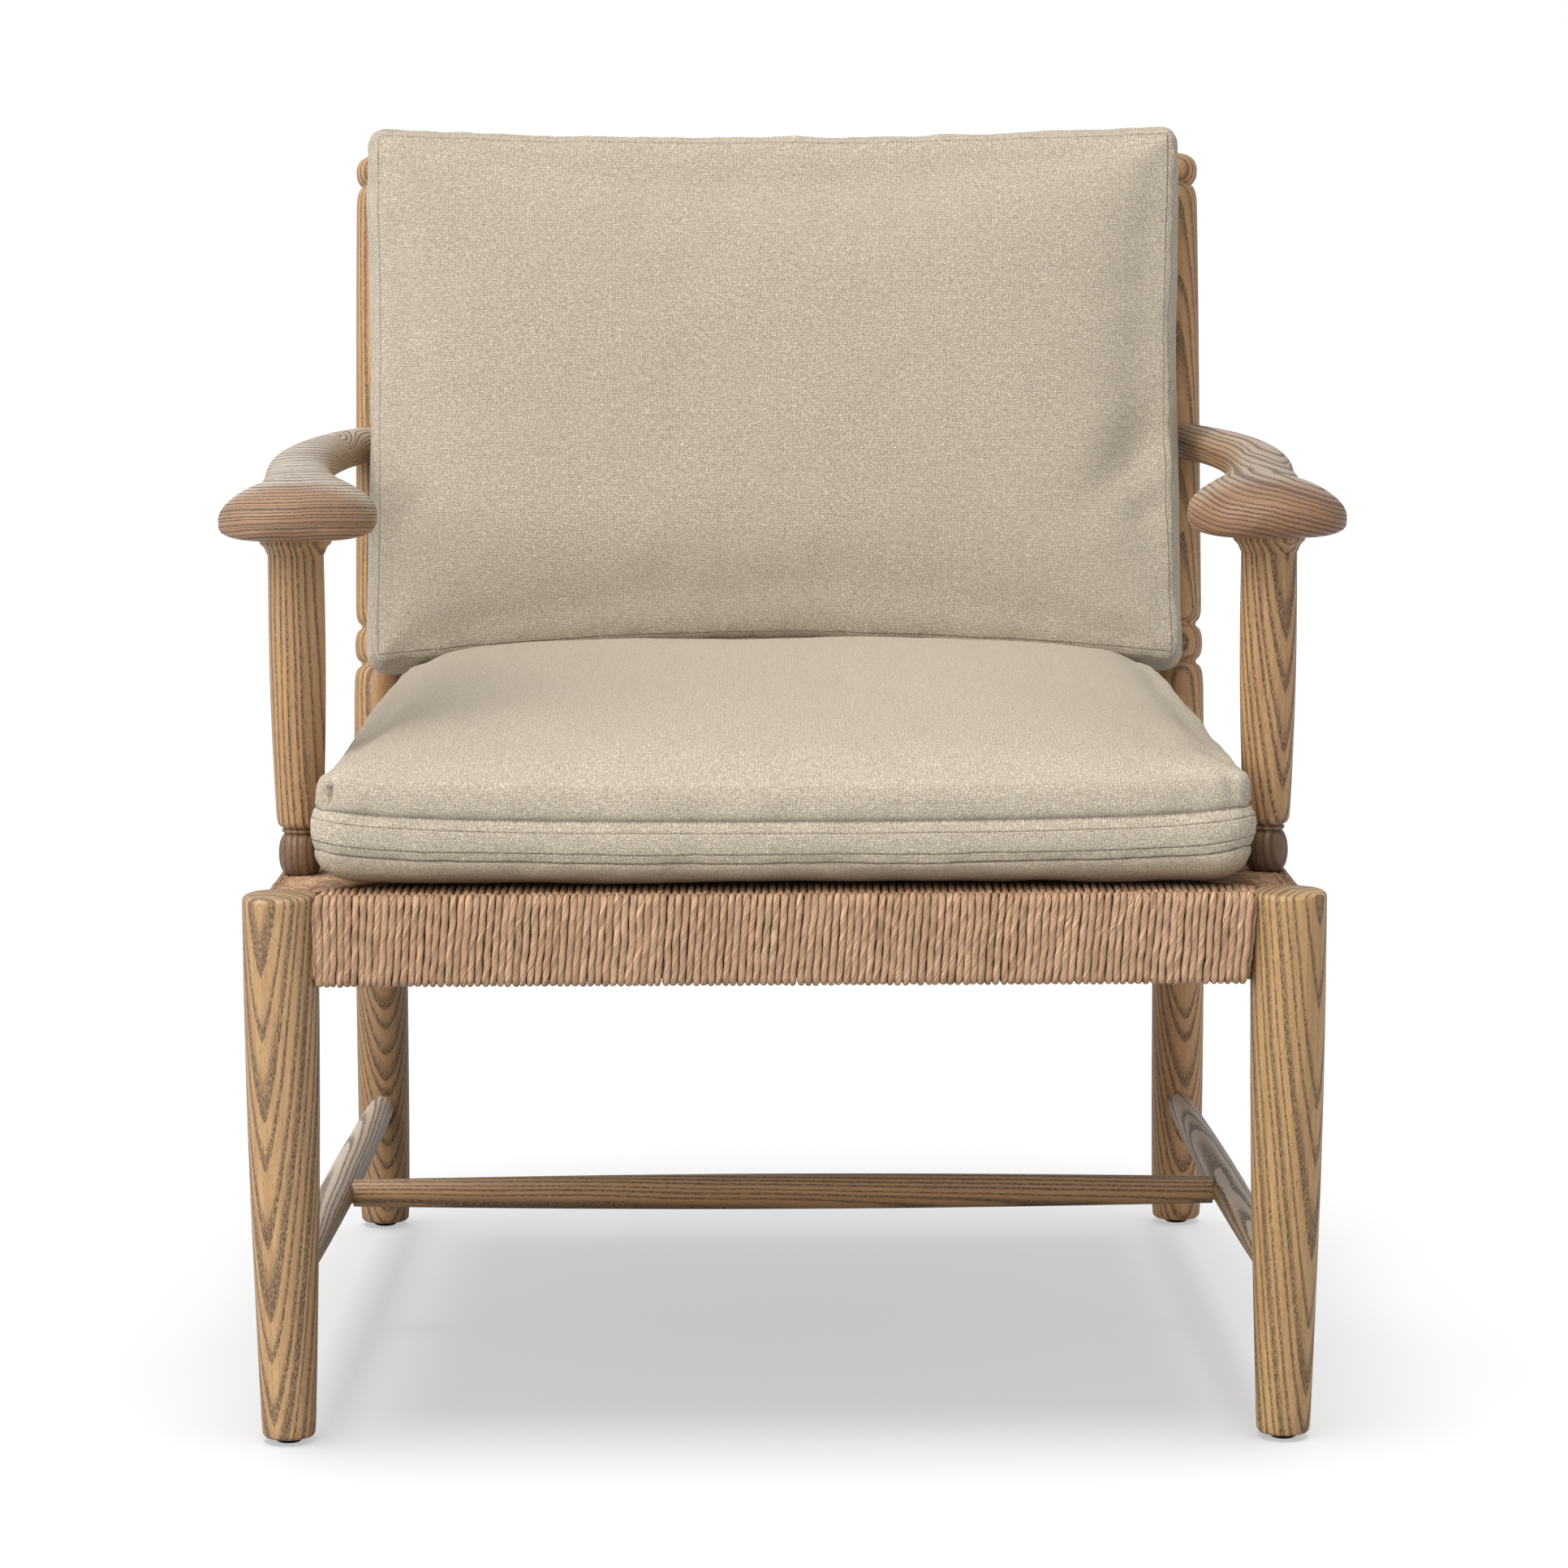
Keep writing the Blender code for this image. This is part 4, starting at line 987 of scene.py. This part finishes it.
def make_cushion(name, cushion, place, stitch_lines, seed, shade_heights, thread, cap, settle, creases, finish):
    """A cushion's cover and stitching. settle moves the inflated mesh's points, finish the final ones."""
    mesh = cushion.mesh(name, place)
    mat = linen_material(f"linen_{name.split('_')[0]}", seed, shade_heights)
    obj = piece(f"{name}_cover", mesh, mat, name, [name], smooth=None)
    seams = np.concatenate([cushion.loops[0], cushion.loops[-1]])
    inflate(obj, seams, cap)
    for key, rows in (("seam", seams), ("stitch", np.concatenate(stitch_lines))):
        level = np.zeros(len(mesh.vertices))
        level[rows] = 1
        mark(mesh, key, level)
    place_points(mesh, settle(coords_of(mesh)))
    mesh = smooth_once(obj)
    mesh.shade_smooth()
    seam_chains, stitch_chains = marked_loops(mesh, "seam"), marked_loops(mesh, "stitch")
    co, normals = coords_of(mesh), normals_of(mesh)
    seam_points = sorted(v for chain in seam_chains for v in chain)
    tree = kdtree.KDTree(len(seam_points))
    for number, v in enumerate(seam_points):
        tree.insert(co[v], number)
    tree.balance()
    shift, groove_shade = np.zeros(len(co)), np.zeros(len(co))
    for v, p in enumerate(co):
        spot = Vector(p)
        far = tree.find(p)[2]
        if far < 0.06:
            rough = noise.noise(spot * 60) + 0.4 * noise.noise(spot * 170)
            shift[v] += 0.002 * math.exp(-far / 0.012) * rough
            shift[v] += 0.0016 * math.exp(-far / 0.03) * noise.noise(spot * 28)
        sunk, groove_shade[v] = creased(spot, creases)
        shift[v] += 0.0018 * noise.noise(spot * 9) + 0.0007 * noise.noise(spot * 24) - sunk
    # Seams and stitch lines are sunk and get painted shade in their grooves
    for chains, depth, shade in ((seam_chains, SEAM_DEPTH, SEAM_SHADE), (stitch_chains, STITCH_DEPTH, 1.0)):
        for chain in chains:
            shift[chain] -= depth
            groove_shade[chain] = shade
    place_points(mesh, finish(co + normals * shift[:, None]))
    mark(mesh, "groove_shade", groove_shade)
    stitched(f"{name}_topstitching", mesh, stitch_chains, name, thread)
    return obj


SEAT_SEAM_LOW, SEAT_SEAM_HIGH, SEAT_CREST, WEAVE_TOP = 0.395, 0.4215, 0.484, 0.3724


def seat_cushion(thread):
    low, high = SEAT_SEAM_LOW, SEAT_SEAM_HIGH
    near = (0, 0.0012, 0.003, 0.0052, 0.006, 0.0068)
    boxing = [low + h for h in near] + [(low + high) / 2] + [high - h for h in reversed(near)]
    half_x, half_y = 0.3068, 0.3075
    middle = FRONT_Y + 0.301

    def upper(s, x, y):
        across = np.clip(1 - np.abs(x) ** 4.2, 0, 1) ** 0.85
        along = np.clip(1 - np.abs(y) ** 3.2, 0, 1) ** 0.85 * (1 + 0.25 * y)
        return high + 0.024 * (1 - np.exp(-s / 0.0026)) + 0.0355 * across * along

    def lower(s, x, y):
        return low - (low - WEAVE_TOP) * (1 - np.exp(-s / 0.01))

    cushion = Cushion(half_x, half_y, 0.026, boxing, upper, lower, 0.004, 0.003,
                      lambda y: 1 - (y + half_y) / (2 * half_y) * 0.085)

    def place(p):
        """The front edge bows forward and hangs a little between corners that stand up."""
        x, y, z = p
        across, along = min(1, abs(x) / half_x), min(1, abs(y) / half_y)
        hang = (1 - across ** 2.5) * along ** 6
        lift = 0.0055 * (across * along) ** 9 - 0.0042 * hang
        x *= 1 + 0.017 * max(0, -y / half_y) ** 8
        return x, y + middle - 0.0075 * hang * (y < 0), z + lift * min(1, max(0, (z - 0.38) / 0.015))

    def settle(co):
        peak = co[:, 2].max()
        co[:, 2] -= (peak - SEAT_CREST) * (np.maximum(co[:, 2] - high, 0) / (peak - high)) ** 2
        return finish(co)

    def finish(co):
        co[:, 2] = np.maximum(co[:, 2], WEAVE_TOP + 0.0004 * np.sin(co[:, 0] * 90) * np.sin(co[:, 1] * 80))
        return co

    rows = [cushion.loops[STITCH_LINE], cushion.loops[-STITCH_LINE - 1]]
    front = middle - half_y
    # The first two creases are the corner puckers, which get painted shade; the others are only sunk
    creases = [((-0.3015, front + 0.005, 0.429), (-0.2975, front + 0.008, 0.4475), 0.0095, 0.0042, 1.0),
               ((0.293, front + 0.004, 0.431), (0.291, front + 0.007, 0.4475), 0.0095, 0.0042, 1.0),
               ((-0.2985, front + 0.012, 0.43), (-0.26, front + 0.001, 0.428), 0.0022, 0.005, 0),
               ((0.296, front + 0.012, 0.43), (0.26, front + 0.001, 0.428), 0.0018, 0.005, 0),
               ((-0.24, front + 0.03, 0.452), (-0.16, front + 0.075, 0.462), 0.0018, 0.014, 0),
               ((0.262, front + 0.05, 0.452), (0.215, front + 0.16, 0.468), 0.0016, 0.016, 0)]
    # The cloth is browned by painted shade below 0.377 m, fading out by 0.398 m
    return make_cushion("seat_cushion", cushion, place, rows, 0.3, (0.377, 0.398), thread, 0.008,
                        settle, creases, finish)


def back_cushion(thread, seat):
    boxing = (0.016, 0.0172, 0.02, 0.025, 0.033, 0.043, 0.053, 0.062, 0.069, 0.074, 0.0768, 0.078)
    half_x, half_y = 0.3098, 0.2068
    up, out = Vector((0, RECLINE, 1)).normalized(), Vector((0, -1, RECLINE)).normalized()
    foot = Vector((-0.003, post_y(0.44), 0.44)) + out * (POST_R + 0.002) + up * 0.2

    def crown(x, y):
        return np.clip(1 - np.abs(x) ** 2.4, 0, 1) ** 0.8 * np.clip(1 - np.abs(y) ** 2.4, 0, 1) ** 0.8

    def upper(s, x, y):
        return 0.078 + 0.008 * (1 - np.exp(-s / 0.008)) + 0.012 * crown(x, y)

    def lower(s, x, y):
        return 0.016 - 0.009 * (1 - np.exp(-s / 0.008)) - 0.004 * crown(x, y)

    cushion = Cushion(half_x, half_y, 0.011, boxing, upper, lower, 0.005, 0.0015)

    def at(x, y, h):
        return foot + Vector((x, 0, 0)) + up * y + out * h

    def place(p):
        x, y, h = p
        hollow = 1 - (x / half_x) ** 2
        rise = 0.003 + 0.016 * min(1.0, max(0.0, (h - 0.035) / 0.035))
        sag = hollow * (0.0085 * max(0.0, y / half_y) ** 3 - rise * max(0.0, -y / half_y) ** 3)
        return at(x * (1 - 0.007 * (1 - (y / half_y) ** 2)), y - sag, h)

    rest_on = bvhtree.BVHTree.FromPolygons([v.co.copy() for v in seat.data.vertices],
                                           [tuple(p.vertices) for p in seat.data.polygons])

    def settle(co):
        """Keeps the cushion in front of the posts and above the seat cushion that it stands on."""
        inward = (co - np.array(foot)) @ np.array(out)
        co += np.array(out)[None] * np.maximum(0.0015 - inward, 0)[:, None]
        for v in np.flatnonzero(co[:, 2] < 0.5):
            hit = rest_on.ray_cast(Vector((co[v, 0], co[v, 1], 0.6)), Vector((0, 0, -1)))[0]
            if hit:
                co[v, 2] = max(co[v, 2], hit.z + 0.0012)
        return co

    creases = [(at(0.244, -0.085, 0.094), at(0.302, -0.015, 0.086), 0.007, 0.018, 0),
               (at(0.272, -0.1, 0.092), at(0.302, -0.08, 0.082), 0.003, 0.01, 0),
               (at(0.288, -0.14, 0.092), at(0.296, 0.15, 0.09), 0.0075, 0.034, 0),
               (at(-0.3, -0.11, 0.082), at(-0.25, -0.06, 0.094), 0.0022, 0.014, 0)]
    make_cushion("back_cushion", cushion, place, cushion.stitch_lines(), 5.3, None, thread, 0.01,
                 settle, creases, settle)


# ---- carried-over parts

def plain_parts():
    """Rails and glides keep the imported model's shape and get full materials."""
    for number, (end, rings) in enumerate((("front", (0, 0.3, 0.95)), ("rear", (0, 0.9, 0.4)),
                                           ("left", (0.95, 0, 0.3)), ("right", (0.3, 0, 0.95)))):
        name = f"seat_rail_{end}"
        grain = 0 if end in ("front", "rear") else 1
        carried(name, wood(f"oak_{name}", rings=rings, side=(0, 1, 0), grain=grain, seed=31 + number))
    made, shader, spot = new_material("glide_nylon")
    scuff = noise_of(spot, 160, 3.0)
    feed(shader, Base_Color=mix(scuff, (0.01, 0.01, 0.011), (0.04, 0.037, 0.034)),
         Roughness=scuff * 0.3 + 0.35)
    bump(shader, noise_of(spot, 1400), 0.0002, 0.5)
    for end in ("front", "rear"):
        for side in SIDES:
            carried(f"glide_{end}_{side}", made)


# ---- stage

CAMERA_PLACE = (-0.02, FRONT_Y - 3.3, 0.9206)
CAMERA_PITCH, CAMERA_PAN, CAMERA_ROLL = math.radians(8.26), math.radians(-0.342), math.radians(-0.17)
FOCAL = 116.75
FILL = 0.6
FLOOR_REACH = 600
# Strength, direction, spread in degrees, and whether the floor is all that it lights or all that it does not:
# the chair is lit from the front left, and its shadow falls straight down
LAMPS = {"key": (4.0, (0.7, 0.66, -1.0), 70, "EXCLUDE"),
         "overhead": (2.9, (0.05, -0.02, -1.0), 37, "INCLUDE")}


def shoot(scene):
    data = bpy.data.cameras.new("camera")
    data.lens = FOCAL
    data.sensor_width = 36
    data.clip_start, data.clip_end = 0.1, 2000
    scene.camera = bpy.data.objects.new("camera", data)
    turn = Matrix.Rotation(CAMERA_PAN, 4, "Z") @ Matrix.Rotation(math.pi / 2 - CAMERA_PITCH, 4, "X")
    scene.camera.matrix_world = Matrix.Translation(CAMERA_PLACE) @ turn @ Matrix.Rotation(CAMERA_ROLL, 4, "Z")
    scene.collection.objects.link(scene.camera)


def stage(scene):
    scene.view_settings.view_transform = "Standard"
    shoot(scene)
    # The backdrop is pure white, and lights the chair less than it shows
    scene.world = bpy.data.worlds.new("studio")
    scene.world.use_nodes = True
    seen = node(scene.world.node_tree, "LightPath", out="Is Camera Ray")
    feed(scene.world.node_tree.nodes["Background"], Strength=seen * (1 - FILL) + FILL, Color=(1.0, 1.0, 1.0))
    mesh = bpy.data.meshes.new("floor")
    corners = [(x * FLOOR_REACH, y * FLOOR_REACH, 0) for x, y in ((-1, -1), (1, -1), (1, 1), (-1, 1))]
    mesh.from_pydata(corners, [], [(0, 1, 2, 3)])
    floor = bpy.data.objects.new("floor", mesh)
    scene.collection.objects.link(floor)
    for name, (strength, way, spread, reached) in LAMPS.items():
        lamp = bpy.data.lights.new(name, "SUN")
        lamp.energy = strength
        lamp.angle = math.radians(spread)
        light = bpy.data.objects.new(name, lamp)
        light.rotation_euler = Vector(way).to_track_quat("-Z", "Y").to_euler()
        scene.collection.objects.link(light)
        floors = bpy.data.collections.new(f"{name}_floor")
        floors.objects.link(floor)
        floors.collection_objects[0].light_linking.link_state = reached
        light.light_linking.receiver_collection = floors
    made, shader, spot = new_material("floor_paper")
    seen = node(spot.tree, "LightPath", out="Is Camera Ray")
    feed(shader, Base_Color=mix(seen, (0.54, 0.56, 0.58), (0.415, 0.42, 0.424)), Roughness=0.95,
         Emission_Strength=seen * 0.455, Emission_Color=(1.0, 1.0, 1.0), Specular_IOR_Level=0.0)
    mesh.materials.append(made)


turned_legs()
rear_posts()
arm_posts()
stretchers()
slats()
arms()
woven_seat()
thread = thread_material("linen_thread")
back_cushion(thread, seat_cushion(thread))
plain_parts()
stage(bpy.context.scene)
